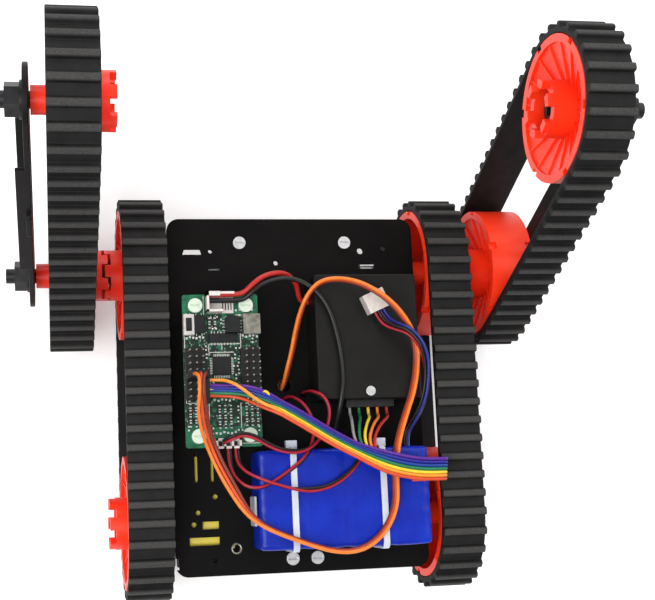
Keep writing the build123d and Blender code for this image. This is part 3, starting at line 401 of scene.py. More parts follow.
add_finish(
    "switch_metal", (0.42, 0.4, 0.39), (0.56, 0.54, 0.52), 0.4, 0.12, metallic=0.3, blotch=2,
    grain=0.4, bump=0.003,
)
add_finish(
    "battery_grey", (0.3, 0.32, 0.37), (0.42, 0.44, 0.48), 0.5, 0.15, blotch=5, grain=0.4,
    bump=0.02,
)
add_finish(
    "foam", (0.012, 0.012, 0.012), (0.03, 0.03, 0.03), 0.85, 0.1, blotch=2, grain=0.3, bump=0.1,
    shine=0.2,
)
add_finish(
    "tie_white", (0.46, 0.5, 0.6), (0.56, 0.6, 0.68), 0.38, 0.12, blotch=5, grain=0.3, bump=0.006,
)
add_finish(
    "cover_black", (0.006, 0.0057, 0.0054), (0.0105, 0.01, 0.0095), 0.42, 0.12, blotch=20,
    grain=0.5, bump=0.012, dusty=0.007, shine=0.11,
)
print("finishes", len(MATERIALS))

# %% [markdown]
# The board needs a finish of its own. Its green mask lies over copper tracks that show as
# slightly lighter lines, which a brick pattern with offset rows gives at the right scale.
# Between the board's ends, dark patches and pale dots stand for parts too small to build.

# %% Finish of the board
TRACK_GREEN = (0.02, 0.2, 0.09)
TRACK_PATTERN = {  # millimetres, but for the last one
    "Brick Width": 5.2, "Row Height": 0.9, "Mortar Size": 0.16, "Mortar Smooth": 0.3,
}
TRACK_OFFSET = 0.37  # of a brick, in every other row
END_STRIP = 8.0  # millimetres at each end of the board with little on them
PATCH_GREEN = (0.002, 0.016, 0.009)
PATCHES_PER_MM = 0.5
PATCH_LEVEL = 0.44  # the noise makes a dark patch above it
DOT_COLOUR = (0.34, 0.4, 0.34)
DOTS_PER_MM = 0.72
DOT_SIZE = 0.2  # its radius, in cells of the pattern
DOT_STRENGTH = 0.8


def board_tracks(tree, base, spots):
    """Lays faint tracks, dark patches and pale dots over a board's green."""
    place = tree.nodes.new("ShaderNodeTexCoord").outputs["Object"]
    tracks = tree.nodes.new("ShaderNodeTexBrick")
    tree.links.new(place, tracks.inputs["Vector"])
    tracks.inputs["Scale"].default_value = 1 / MM
    for title, value in TRACK_PATTERN.items():
        tracks.inputs[title].default_value = value
    tracks.offset = TRACK_OFFSET
    faint = math_node(tree, "MULTIPLY", tracks.outputs["Fac"], spots.outputs["Blotch"])
    green = mix_colour(tree, faint, base, TRACK_GREEN)
    along = tree.nodes.new("ShaderNodeSeparateXYZ")
    tree.links.new(place, along.inputs[0])
    low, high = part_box("controller_board")
    from_middle = math_node(tree, "SUBTRACT", along.outputs["Y"], (low.y + high.y) / 2)
    reach = math_node(tree, "ABSOLUTE", from_middle)
    crowded = math_node(tree, "LESS_THAN", reach, (high.y - low.y) / 2 - END_STRIP * MM)
    patches = noise_node(tree, place, PATCHES_PER_MM / MM, detail=4.0, rough=0.6)
    dark = math_node(tree, "GREATER_THAN", patches, PATCH_LEVEL)
    dark = math_node(tree, "MULTIPLY", dark, crowded)
    green = mix_colour(tree, dark, green, PATCH_GREEN)
    dots = tree.nodes.new("ShaderNodeTexVoronoi")
    tree.links.new(place, dots.inputs["Vector"])
    dots.inputs["Scale"].default_value = DOTS_PER_MM / MM
    pale = math_node(tree, "LESS_THAN", dots.outputs["Distance"], DOT_SIZE)
    pale = math_node(tree, "MULTIPLY", math_node(tree, "MULTIPLY", pale, crowded), DOT_STRENGTH)
    return mix_colour(tree, pale, green, DOT_COLOUR)


add_finish(
    "board_green", (0.002, 0.055, 0.025), (0.006, 0.14, 0.062), 0.34, 0.14, blotch=3, grain=0.3,
    bump=0.006, coat=0.12, shine=0.35, extra=board_tracks,
)
print("board tracks", TRACK_PATTERN["Row Height"], "mm apart")

# %% [markdown]
# The battery's wrap is a tight, glossy film, so it gets a thin coat and soft wrinkles a few
# millimetres wide. A wire's sheath is plain, smooth and a little waxy. Its two colours are one
# colour and a darker shade of it.

# %% Finishes of the wrap and the wires
add_finish(
    "battery_blue", (0.002, 0.012, 0.28), (0.004, 0.025, 0.39), 0.32, 0.16, blotch=11, grain=3.4,
    bump=0.16, coat=0.12, shine=0.16,
)
SHEATH_SHADE = 0.78
SHEATHS = {
    "violet": (0.09, 0.014, 0.26), "indigo": (0.014, 0.012, 0.25), "blue": (0.006, 0.045, 0.27),
    "green": (0.012, 0.18, 0.075), "yellow": (0.8, 0.58, 0.03), "orange": (0.84, 0.2, 0.02),
    "red": (0.66, 0.07, 0.015), "brown": (0.2, 0.03, 0.015), "grey": (0.3, 0.3, 0.3),
    "crimson": (0.36, 0.01, 0.026), "wire_red": (0.46, 0.02, 0.016),
    "black": (0.006, 0.0057, 0.0055), "dark_blue": (0.012, 0.02, 0.2),
    "dark_violet": (0.045, 0.01, 0.13), "light_orange": (0.86, 0.3, 0.03),
}
for name, colour in SHEATHS.items():
    darker = tuple(SHEATH_SHADE * channel for channel in colour)
    add_finish(
        "sheath_" + name, colour, darker, 0.4, 0.12, blotch=4, grain=0.35, bump=0.008, coat=0.06,
        shine=0.34,
    )
print("sheaths", len(SHEATHS), "materials", len(MATERIALS))

# %% [markdown]
# A wire droops in one smooth line, so each one is a NURBS curve with a few chosen places as its
# control points. The curve passes near them, never with a kink. The model's own wires follow the
# same places, except where the ribbon's thin tails leave it: here they lie side by side.

# %% A smooth line near chosen places
def smooth_line(name, places):
    """A smooth curve with the given places, in chassis millimetres, as its control points."""
    data = bpy.data.curves.new(name, "CURVE")
    data.dimensions = "3D"
    data.resolution_u = 10
    spline = data.splines.new("NURBS")
    spline.points.add(len(places) - 1)
    for point, place in zip(spline.points, places):
        point.co = (*at(*place), 1)
    spline.order_u = 3
    spline.use_endpoint_u = True
    line = bpy.data.objects.new(name, data)
    bpy.context.scene.collection.objects.link(line)
    return line


def points_of(line):
    """The points that a curve without thickness runs through."""
    mesh = bpy.data.meshes.new_from_object(line)
    points = [vertex.co.copy() for vertex in mesh.vertices]
    bpy.data.meshes.remove(mesh)
    return points


def length_of(points):
    """The length along a row of points, in metres."""
    return sum((after - before).length for before, after in zip(points, points[1:]))


def round_wire(name, places, node, slot, sheath, length, diameter, **facts):
    """A round wire along the given places, which stands for one of the model's wires."""
    wire = smooth_line(name, places)
    measured = length_of(points_of(wire))
    wire.data.bevel_depth = diameter * MM / 2
    wire.data.bevel_resolution = 3
    wire.data.use_fill_caps = True
    wire.data.materials.append(MATERIALS["sheath_" + sheath])
    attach(wire, "chassis")
    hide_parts(node)
    print(name, "says", length, "measures", round(measured / MM, 1))
    return wire


# %% [markdown]
# The red and black power wires leave the white socket together. The black one crosses the cover
# to the battery, and the red one goes down beside the cover. The motors' crimson wires leave
# their own socket at the board's rear, loop between the board and the cover, and go through
# holes in the deck to the motors. All of them are limp, so they lie in soft loops.

# %% Power wires
POWER_BLACK = [
    (-27.5, 34.6, 61.2), (-24.0, 34.6, 61.2), (-20.6, 37.6, 63.0), (-16.4, 40.8, 63.2),
    (-10.6, 42.8, 62.4), (-4.4, 43.2, 61.6), (1.4, 41.2, 61.4), (6.6, 37.0, 61.6),
    (10.4, 31.0, 61.3), (12.6, 23.2, 61.4), (14.2, 14.6, 61.3), (14.8, 5.6, 61.5),
    (14.0, -2.6, 62.2), (12.8, -9.4, 60.2), (12.2, -14.6, 56.2), (12.3, -19.6, 53.4),
    (12.3, -24.05, 53.4),
]
POWER_RED = [
    (-27.5, 37.0, 61.2), (-24.2, 37.0, 61.2), (-20.8, 40.2, 63.2), (-16.6, 43.6, 63.2),
    (-10.8, 45.6, 61.6), (-5.0, 45.6, 58.2), (-0.8, 42.6, 54.0), (0.6, 38.4, 50.4),
    (2.2, 35.6, 48.2), (5.0, 35.6, 48.2),
]
POWER_WIDTH = 2.0
LIMP = {"far_end": "object", "stiffness": "limp", "lay": "loose"}
round_wire("power_black_wire", POWER_BLACK, "power_black", "wire_black", "black", 103.3,
           POWER_WIDTH, **LIMP)
round_wire("power_red_wire", POWER_RED, "power_red", "wire_red", "wire_red", 45.0,
           POWER_WIDTH, **LIMP)

# %% Routes of the motor wires
MOTOR_WIRES = {
    "a": [
        (-33.6, -20.4, 61.6), (-33.6, -20.4, 64.4), (-30.6, -19.0, 66.4), (-26.4, -17.8, 66.6),
        (-21.6, -19.2, 66.0), (-16.8, -22.2, 65.6), (-11.4, -24.6, 65.4), (-5.2, -25.4, 65.6),
        (0.4, -23.4, 65.2), (4.8, -19.4, 64.0), (7.6, -14.2, 63.0), (8.4, -8.4, 62.8),
        (6.4, -3.8, 62.4), (3.4, -2.0, 59.6), (2.4, -1.4, 55.4), (2.5, -1.2, 50.0),
        (2.5, -1.1, 44.0), (3.0, -0.6, 38.8), (6.4, 0.8, 34.8), (12.4, 3.4, 33.0),
        (19.6, 6.8, 32.2), (27.0, 10.2, 31.6), (33.8, 11.6, 31.2), (38.9, 8.8, 31.0),
        (38.9, 2.0, 31.0),
    ],
    "b": [
        (-31.2, -23.0, 59.6), (-31.2, -27.0, 59.6), (-30.6, -31.6, 61.0), (-28.4, -35.8, 62.8),
        (-24.4, -38.4, 64.6), (-19.4, -38.4, 65.2), (-14.0, -35.6, 65.2), (-8.6, -32.0, 65.4),
        (-3.8, -28.6, 65.2), (-0.2, -24.6, 63.4), (2.0, -19.8, 61.2), (2.4, -14.4, 61.0),
        (0.8, -9.2, 60.8), (-1.8, -5.4, 59.0), (-4.2, -3.4, 55.4), (-5.2, -3.0, 50.2),
        (-5.4, -3.4, 44.0), (-6.2, -3.4, 38.6), (-9.6, -1.6, 34.6), (-15.4, 2.2, 33.0),
        (-22.2, 6.8, 32.2), (-29.0, 10.6, 31.6), (-34.6, 10.8, 31.2), (-36.7, 7.2, 31.0),
        (-36.7, 2.0, 31.0),
    ],
    "c": [
        (-28.2, -23.0, 59.6), (-28.2, -26.6, 59.6), (-27.4, -30.0, 62.2), (-24.8, -33.0, 65.0),
        (-20.0, -35.4, 67.2), (-13.8, -37.8, 67.4), (-6.8, -39.6, 67.2), (0.6, -40.0, 66.4),
        (7.4, -38.4, 65.6), (13.2, -35.0, 65.4), (17.8, -30.4, 65.4), (20.8, -25.6, 64.2),
        (22.6, -21.8, 60.2), (23.0, -20.0, 54.8), (23.0, -19.8, 48.4), (23.0, -19.6, 41.8),
        (23.2, -17.8, 36.4), (23.8, -13.0, 33.6), (24.4, -6.4, 32.6), (25.4, 0.4, 32.0),
        (28.0, 6.0, 31.6), (32.2, 8.2, 31.2), (34.6, 6.2, 31.0), (34.6, 2.0, 31.0),
    ],
}
print("motor routes", len(MOTOR_WIRES))

# %% [markdown]
# The motor wires, the servo's lead, the ribbon and the balance lead are bundles. Each strand runs
# beside the bundle's own smooth line, a set way across and above it. The direction across is
# carried along the line and kept square to it at every point. It never flips, as a direction
# worked out afresh at each point would in a loop, and a flat bundle can still be turned on edge.

# %% Strands beside a line
def bundle(name, line, offsets, sheaths, diameter, flat, turn):
    """A mesh of strands beside a smooth line. offsets(s, strand) is the way across and above,
    in millimetres, s mm along it. flat is the direction across before turn(s), in radians."""
    points = points_of(line)
    bpy.data.objects.remove(line)
    aheads, levels, aways = [], [], []
    level = Vector(flat)
    for index, point in enumerate(points):
        before, after = points[max(index - 1, 0)], points[min(index + 1, len(points) - 1)]
        aheads.append((after - before).normalized())
        level = (level - level.dot(aheads[-1]) * aheads[-1]).normalized()
        levels.append(level)
        aways.append(aways[-1] + (point - before).length / MM if index else 0.0)
    bm = bmesh.new()
    for strand in range(len(sheaths)):
        data = bpy.data.curves.new("strand", "CURVE")
        data.dimensions = "3D"
        data.bevel_depth = diameter * MM / 2
        data.bevel_resolution = 2
        data.use_fill_caps = True
        spline = data.splines.new("POLY")
        spline.points.add(len(points) - 1)
        for index, point in enumerate(points):
            side = Matrix.Rotation(turn(aways[index]), 3, aheads[index]) @ levels[index]
            across, above = offsets(aways[index], strand)
            place = point + (side * across + aheads[index].cross(side) * above) * MM
            spline.points[index].co = (*place, 1)
        holder = bpy.data.objects.new("strand", data)
        mesh = bpy.data.meshes.new_from_object(holder)
        mesh.polygons.foreach_set("material_index", [strand] * len(mesh.polygons))
        bm.from_mesh(mesh)
        bpy.data.objects.remove(holder)
        bpy.data.meshes.remove(mesh)
    for face in bm.faces:
        face.smooth = True
    mesh = bpy.data.meshes.new(name)
    bm.to_mesh(mesh)
    bm.free()
    for sheath in sheaths:
        mesh.materials.append(MATERIALS["sheath_" + sheath])
    piece = bpy.data.objects.new(name, mesh)
    bpy.context.scene.collection.objects.link(piece)
    print(name, "strands", len(sheaths), "length", round(length_of(points) / MM, 1))
    return piece, points


def ease(value, start, end):
    """Goes smoothly from 0 at start to 1 at end."""
    share = min(max((value - start) / (end - start), 0), 1)
    return share * share * (3 - 2 * share)


def eased_steps(along, steps):
    """Goes smoothly through steps, each a place along the line and the angle there in degrees."""
    value = steps[0][1]
    for (start, before), (end, after) in zip(steps, steps[1:]):
        value += (after - before) * ease(along, start, end)
    return math.radians(value)


# %% [markdown]
# Each motor wire is really a crimson and a black wire, loosely twisted. Here the one shows and
# there the other, so a single tube of one colour would miss it. Two strands turn round each
# other by chosen angles. At 90 degrees the crimson one lies on the black one.

# %% Motor wires
PAIR_STRAND = 1.15
PAIR_TURNS = {  # millimetres along each pair, and its angle there
    "a": ((0, 190), (24, 190), (44, 115), (134, 60)),
    "b": ((0, 150), (16, 105), (60, 75), (134, 150)),
    "c": ((0, 165), (14, 120), (26, 115), (44, 235), (68, 250), (134, 150)),
}
PAIR_ACROSS = {"a": (0, 1, 0), "b": (1, 0, 0), "c": (1, 0, 0)}


def pair_offsets(along, strand):
    """Two wires that touch side by side."""
    return (0.5 - strand) * PAIR_STRAND, 0.0


for letter, places in MOTOR_WIRES.items():
    pair, pair_points = bundle(
        "motor_pair_" + letter, smooth_line("pair_line", places), pair_offsets,
        ["crimson", "black"], PAIR_STRAND, PAIR_ACROSS[letter],
        lambda along, steps=PAIR_TURNS[letter]: eased_steps(along, steps),
    )
    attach(pair, "chassis")
    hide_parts("motor_wire_" + letter)

# %% [markdown]
# The servo's lead is three wires moulded side by side: orange, red and brown. At the plug they
# lie flat. Further on the lead turns on edge, so that mostly the orange wire shows. It
# makes the long loop over the battery and the cover, and goes down through the deck to the servo.

# %% Servo lead
SERVO_LEAD = [
    (-43.4, 4.84, 74.14), (-43.4, 4.84, 78.4), (-43.9, 0.6, 81.6), (-43.8, -4.8, 80.4),
    (-43.2, -9.4, 75.8), (-41.8, -15.2, 70.8), (-39.2, -22.4, 67.2), (-35.5, -30.8, 66.4),
    (-30.5, -40.0, 66.6), (-25.6, -48.0, 66.3), (-19.0, -53.4, 66.2), (-10.8, -57.0, 66.0),
    (-2.0, -60.4, 66.2), (6.8, -63.2, 66.0), (15.6, -63.6, 66.2), (23.2, -60.2, 66.0),
    (29.0, -53.8, 66.2), (32.2, -46.0, 65.6), (32.6, -37.2, 65.2), (33.0, -28.4, 65.3),
    (35.2, -19.4, 64.8), (38.8, -10.8, 63.6), (42.4, -2.4, 62.6), (44.4, 6.4, 62.2),
    (44.8, 14.6, 62.8), (42.4, 21.4, 64.8), (38.2, 27.4, 67.2), (33.2, 32.8, 67.8),
    (27.2, 37.2, 67.8), (20.6, 40.6, 66.6), (13.2, 42.0, 65.8), (6.2, 41.0, 65.6),
    (1.6, 36.4, 64.4), (-1.0, 29.6, 60.8), (-2.2, 22.4, 56.2), (-3.2, 15.2, 52.8),
    (-4.8, 8.6, 50.4), (-5.6, 3.2, 46.6), (-5.4, 1.6, 40.6), (-5.2, 4.4, 35.6), (-4.4, 11.0, 33.0),
    (-2.0, 19.0, 32.4), (1.2, 27.2, 32.0), (3.8, 35.4, 31.2), (4.2, 42.8, 30.0), (1.2, 48.8, 29.2),
    (-4.6, 50.5, 28.6), (-10.5, 50.5, 28.6),
]
LEAD_STRAND = 1.4
LEAD_SPREAD = 1.08  # from strand to strand, in strands
LEAD_FLARE = 0.42  # added to it at the plug
LEAD_WAIST = 0.56  # taken from it where the strands are drawn together
LEAD_CLOSE = 0.08  # taken from it where the lead is on edge
LEAD_HUMP = 1.25  # millimetres that the waist lifts the middle strand
LEAD_TURN = (42, 78)  # millimetres along, from flat to on edge
LEAD_RISE = 0.4  # of the lead on its edge, so that it lies on the battery's ties


def servo_offsets(along, strand):
    """Three wires side by side: apart at the plug, drawn together behind it, then flat."""
    waist = ease(along, 1, 9) * (1 - ease(along, 10, 22))
    flare = 1 - ease(along, 0, 7)
    on_edge = ease(along, *LEAD_TURN)
    spread = LEAD_SPREAD + LEAD_FLARE * flare - LEAD_WAIST * waist - LEAD_CLOSE * on_edge
    lift = LEAD_HUMP * waist if strand == 1 else 0.0
    return (strand - 1) * LEAD_STRAND * spread + LEAD_RISE * on_edge, lift


def servo_turn(along):
    """Flat at the plug, then on edge with the orange wire on top."""
    return eased_steps(along, ((0, 0), (LEAD_TURN[0], 0), (LEAD_TURN[1], -92)))


lead, lead_points = bundle(
    "servo_lead_strands", smooth_line("servo_line", SERVO_LEAD), servo_offsets,
    ["brown", "red", "orange"], LEAD_STRAND, (-1, 0, 0), servo_turn,
)
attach(lead, "chassis")
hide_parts("servo_lead")

# %% [markdown]
# The ribbon is seven wires in the order of the rainbow. It starts bunched at the plug, leans on
# its violet edge as it crosses the robot, lies flat over the right track, folds back under itself
# there and splits into five thin tails, which end in the socket behind the cover. Its yellow wire
# sticks out on the violet side in a small loop near the plug, which is a short piece of its own.

# %% Ribbon
RIBBON = [
    (-38.9, -1.16, 65.4), (-34.6, -1.16, 65.4), (-28.6, -1.8, 67.8), (-21.0, -4.4, 70.2),
    (-12.4, -8.4, 70.9), (-3.2, -13.8, 71.0), (6.4, -20.0, 70.9), (16.6, -25.6, 71.0),
    (27.0, -30.0, 70.9), (36.2, -32.6, 71.0), (44.0, -33.6, 70.9), (51.9, -33.6, 70.9),
    (51.9, -33.6, 68.4), (38.4, -33.6, 68.4),
]
RIBBON_SHEATHS = ["violet", "indigo", "blue", "green", "yellow", "light_orange", "red"]
RIBBON_START = [2.2, 1.2, 0.2, -0.8, 0.6, 4.2, -1.8]
RIBBON_PITCH = 1.3
RIBBON_LEAN = ((0, 0), (8, 0), (30, -51), (60, -51), (86, 0))
RIBBON_LATE = (4, 6)  # the yellow and the red wire find their places later
RIBBON_HUMP = 30  # millimetres along, in which some wires pass over or under the others
RIBBON_OVER = [0.0, 0.0, 0.0, 0.0, -1.1, 1.6, -0.9]  # millimetres over the others


def ribbon_offsets(along, strand):
    """Bunched at the plug, with the orange wire over the others, and side by side further on."""
    flat_place = (3 - strand) * RIBBON_PITCH
    flat_share = ease(along, 12, 34) if strand in RIBBON_LATE else ease(along, 4, 24)
    hump = math.sin(math.pi * min(along / RIBBON_HUMP, 1))
    across = RIBBON_START[strand] * (1 - flat_share) + flat_place * flat_share
    return across, RIBBON_OVER[strand] * hump


ribbon, ribbon_points = bundle(
    "ribbon_strands", smooth_line("ribbon_line", RIBBON), ribbon_offsets, RIBBON_SHEATHS,
    RIBBON_PITCH, (0, 1, 0), lambda along: eased_steps(along, RIBBON_LEAN),
)
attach(ribbon, "chassis")
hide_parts("ribbon_cable")

# %% The ribbon's yellow loop
YELLOW_LOOP = [
    (-22.0, -6.4, 67.6), (-20.6, -2.6, 68.2), (-17.6, -1.6, 69.0), (-16.2, -4.2, 69.0),
    (-17.6, -8.6, 68.4),
]
THIN_WIRE = 1.2
loop, _ = bundle(
    "yellow_loop", smooth_line("loop_line", YELLOW_LOOP), lambda along, strand: (0.0, 0.0),
    ["yellow"], THIN_WIRE, (0, 1, 0), lambda along: 0.0,
)
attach(loop, "chassis")

# %% Ribbon tails
TAIL_SHEATHS = ["grey", "green", "yellow", "orange", "wire_red"]
TAIL_LENGTHS = [48.5, 46.6, 45.1, 43.9, 43.1]
for tail, sheath in enumerate(TAIL_SHEATHS):
    places = [
        (38.4, -36.2 + RIBBON_PITCH * tail, 68.4),
        (33.6, -35.4 + RIBBON_PITCH * tail, 68.4),
        (27.8, -33.5 + RIBBON_PITCH * tail, 68.5),
        (22.4 + 0.6 * tail, -30.4 + 1.1 * tail, 68.3),
        (18.6 + 1.5 * tail, -26.0 + 0.6 * tail, 67.4),
        (17.2 + 2.1 * tail, -20.0, 64.4),
        (18.0 + 2.9 * tail, -15.0, 59.8),
        (19.0 + 3.8 * tail, -12.0, 55.0),
        (19.2 + 3.8 * tail, -10.6, 52.2),
        (19.2 + 3.8 * tail, -8.0, 52.2),
    ]
    round_wire(f"ribbon_tail_{tail + 1}", places, "ribbon_tails", "ribbon_colours", sheath,
               TAIL_LENGTHS[tail], THIN_WIRE, **LIMP)

# %% [markdown]
# The balance lead leaves the white plug as four thin wires that stay together: a dark blue, a dark
# violet, a black and a crimson one. It follows the cover's right edge and goes down to the
# battery.

# %% Balance lead
BALANCE_LEAD = [
    (30.49, 29.84, 62.75), (32.36, 25.64, 62.75), (36.4, 22.8, 66.0), (40.8, 20.6, 68.8),
    (45.0, 15.6, 69.0), (47.6, 9.2, 66.6), (48.2, 2.2, 64.4), (47.2, -5.0, 63.2),
    (45.2, -11.4, 59.4), (42.4, -16.6, 55.6), (41.2, -20.0, 54.6), (41.2, -24.05, 54.6),
]
BALANCE_PLACES = [(1.8, 0.35), (0.6, -0.35), (-0.6, 0.4), (-1.8, -0.3)]
BALANCE_SHEATHS = ["dark_blue", "dark_violet", "black", "crimson"]
BALANCE_ACROSS = (0.91, 0.41, 0)
BALANCE_TURNS = ((0, 0), (10, 0), (40, 70))
BALANCE_CLOSES = (3, 14)  # millimetres along
BALANCE_DRAW = 0.42  # the share by which the wires draw together there


def balance_offsets(along, strand):
    """Four wires side by side at the plug, which close up into a loose bundle."""
    closed = ease(along, *BALANCE_CLOSES)
    across, above = BALANCE_PLACES[strand]
    return across * (1 - BALANCE_DRAW * closed), above * (1 + closed)


balance, balance_points = bundle(
    "balance_strands", smooth_line("balance_line", BALANCE_LEAD), balance_offsets,
    BALANCE_SHEATHS, THIN_WIRE, BALANCE_ACROSS,
    lambda along: eased_steps(along, BALANCE_TURNS),
)
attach(balance, "chassis")
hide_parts("balance_lead")

# %% [markdown]
# Moulded and punched pieces never have knife edges, and a real edge catches a thin line of
# light. So most rigid pieces are copied from the model, their doubles are merged, their flat
# faces are made whole and their sharp edges get a small bevel. A weighted normal then keeps the
# flat faces flat. The board's sockets, the belts and the battery's wrap are made further down.

# %% Helpers for rounded copies
MERGE = 1e-6
FLAT_ANGLE = math.radians(0.6)
SHARP_EDGE = math.radians(38)
SHADE_BREAK = math.radians(50)


def rounded_copy(node, edge, segments=2):
    """A bmesh of one of the model's pieces with its sharp edges bevelled by edge, in
    millimetres."""
    bm = bmesh.new()
    bm.from_mesh(nodes[node].data)
    bmesh.ops.remove_doubles(bm, verts=bm.verts, dist=MERGE)
    bmesh.ops.dissolve_limit(bm, angle_limit=FLAT_ANGLE, verts=bm.verts, edges=bm.edges)
    sharp = [e for e in bm.edges if e.is_manifold and e.calc_face_angle(0) > SHARP_EDGE]
    bmesh.ops.bevel(bm, geom=sharp, offset=edge * MM, segments=segments, profile=0.5,
                    affect="EDGES", clamp_overlap=True, material=-1)
    return bm


def finished(name, bm, body, slot, node=None, weighted=True, finishes=None):
    """Turns a bmesh into a piece, which rides on a body and may replace a node. Its finish is its
    slot's, unless finishes names others."""
    mesh = bpy.data.meshes.new(name)
    bm.to_mesh(mesh)
    bm.free()
    mesh.polygons.foreach_set("use_smooth", [True] * len(mesh.polygons))
    mesh.set_sharp_from_angle(angle=SHADE_BREAK)
    for finish in finishes or [slot]:
        mesh.materials.append(MATERIALS[finish])
    piece = bpy.data.objects.new(name, mesh)
    bpy.context.scene.collection.objects.link(piece)
    if weighted:
        piece.modifiers.new("even_light", "WEIGHTED_NORMAL").keep_sharp = True
    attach(piece, body)
    if node:
        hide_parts(node)
    return piece


# %% Rounded copies of the model's pieces
body_of_node = {node: body for body, members in frame["record"]["behaviour"]["bodies"].items()
                for node in members}
slot_of_node = {part["node"]: part["material_slot"] for part in frame["record"]["subparts"]}
EDGES = {  # bevel in millimetres of each finish, where the piece isn't made in another way
    "black_sheet": 0.25, "arm_sheet": 0.3, "dark_steel": 0.25, "steel": 0.2, "motor_steel": 0.4,
    "bronze": 0.2, "yellow_plastic": 0.5, "servo_plastic": 0.4, "wheel_orange": 0.3,
    "nylon": 0.25, "header_plastic": 0.12, "pin_metal": 0.12, "chip_plastic": 0.15,
    "small_parts": 0.1, "socket_white": 0.25, "socket_metal": 0.15, "switch_metal": 0.15,
    "battery_grey": 0.3, "tie_white": 0.2, "cover_black": 0.25, "board_green": 0.12, "foam": 0.2,
}
REMADE = {"board_sockets"}  # its finish is in the list, but it is made further down
rounded = []
for node, slot in slot_of_node.items():
    if slot in EDGES and node not in REMADE:
        bm = rounded_copy(node, EDGES[slot])
        rounded.append(finished(node + "_shape", bm, body_of_node[node], slot, node))
print("rounded pieces", len(rounded), "faces", sum(len(piece.data.polygons) for piece in rounded))

# %% [markdown]
# The power socket is a white shroud that is open on one side, where the two wires come out. The
# motors' socket is a white shell with three slots. Both are built of plain walls, because that
# is how thin moulded shrouds look, and at this size their edges need no rounding.

# %% Helpers for small parts on the board
board_low, board_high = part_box("controller_board")
board_middle = (board_low + board_high) / 2 / MM


def block(bm, low, high, finish=0):
    """Adds a box between two corners, in millimetres, to a bmesh."""
    low, high = Vector(low), Vector(high)
    made = bmesh.ops.create_cube(bm, size=1)["verts"]
    bmesh.ops.scale(bm, vec=(high - low) * MM, verts=made)
    bmesh.ops.translate(bm, vec=(high + low) / 2 * MM, verts=made)
    for face in {face for vertex in made for face in vertex.link_faces}:
        face.material_index = finish


def on_board(x, y, z):
    """A place in scene millimetres from the board's middle and its upper face."""
    return Vector((board_middle.x + x, board_middle.y + y, board_high.z / MM + z))


def pad(bm, x, y, half_x, half_y, foot, top):
    """Adds a box round a place on the board, from foot to top above the board."""
    block(bm, on_board(x - half_x, y - half_y, foot), on_board(x + half_x, y + half_y, top))


print("board's middle", round(board_middle.x, 2), round(board_middle.y, 2))

# %% Sockets on the board
SHROUD_WALL = 0.9
POWER_SOCKET = ((-5.9, 22.4), (5.1, 30.4))
POWER_HEIGHTS = (1.2, 5.2, 6.0)  # of its floor, its low front wall and all else
POWER_REAR_END = 0.4  # of its rear wall
POWER_CORNER = (-0.6, 29.6 - SHROUD_WALL)  # right end and rear side of its high front corner
MOTOR_SOCKET = ((-3.9, -30.6), (6.1, -26.6))
MOTOR_HEIGHTS = (1.4, 4.0)  # of its floor and its walls
MOTOR_SLOTS = 3
(left, rear), (right, front) = POWER_SOCKET
base, low_wall, high_wall = POWER_HEIGHTS
walls = [
    ((left, rear, 0), (right, front, base)),
    ((left, rear, 0), (left + SHROUD_WALL, front, high_wall)),
    ((left, front - SHROUD_WALL, 0), (right, front, low_wall)),
    ((left, rear, 0), (POWER_REAR_END, rear + SHROUD_WALL, high_wall)),
    ((left, POWER_CORNER[1], 0), (POWER_CORNER[0], front, high_wall)),
]
(left, rear), (right, front) = MOTOR_SOCKET
base, high_wall = MOTOR_HEIGHTS
walls += [
    ((left, rear, 0), (right, rear + SHROUD_WALL, high_wall)),
    ((left, front - SHROUD_WALL, 0), (right, front, high_wall)),
    ((left, rear, 0), (right, front, base)),
]
for wall in range(MOTOR_SLOTS + 1):
    x = left + wall * (right - left - SHROUD_WALL) / MOTOR_SLOTS
    walls.append(((x, rear, 0), (x + SHROUD_WALL, front, high_wall)))
sockets = bmesh.new()
for low, high in walls:
    block(sockets, on_board(*low), on_board(*high))
finished("socket_shrouds", sockets, "chassis", "socket_white", "board_sockets")
print("socket walls", len(walls))

# %% Ends of the power wires
STUB = (-4.6, 5.1)  # from the shroud's wall to where the wires leave it
STUB_ROWS = (27.0, 29.4)
STUB_HEIGHT = 3.6
stubs = bmesh.new()
for finish, y in enumerate(STUB_ROWS):
    made = bmesh.ops.create_cone(
        stubs, cap_ends=True, segments=20, radius1=MM, radius2=MM, depth=(STUB[1] - STUB[0]) * MM
    )["verts"]
    turn = Matrix.Rotation(math.pi / 2, 3, "Y")
    bmesh.ops.rotate(stubs, verts=made, cent=(0, 0, 0), matrix=turn)
    bmesh.ops.translate(stubs, verts=made, vec=on_board(sum(STUB) / 2, y, STUB_HEIGHT) * MM)
    for face in {face for vertex in made for face in vertex.link_faces}:
        face.material_index = finish
finished("socket_wires", stubs, "chassis", "wire_red", weighted=False,
         finishes=["sheath_black", "sheath_wire_red"])
print("wire ends", len(STUB_ROWS))

# %% [markdown]
# A bare board looks empty. The chips' tin legs, a scatter of chip resistors and the printed
# white lines make it read as electronics, even where each is only a pixel or two. Legs repeat
# at a fixed pitch, so loops place them, and the rest is a short list per kind.

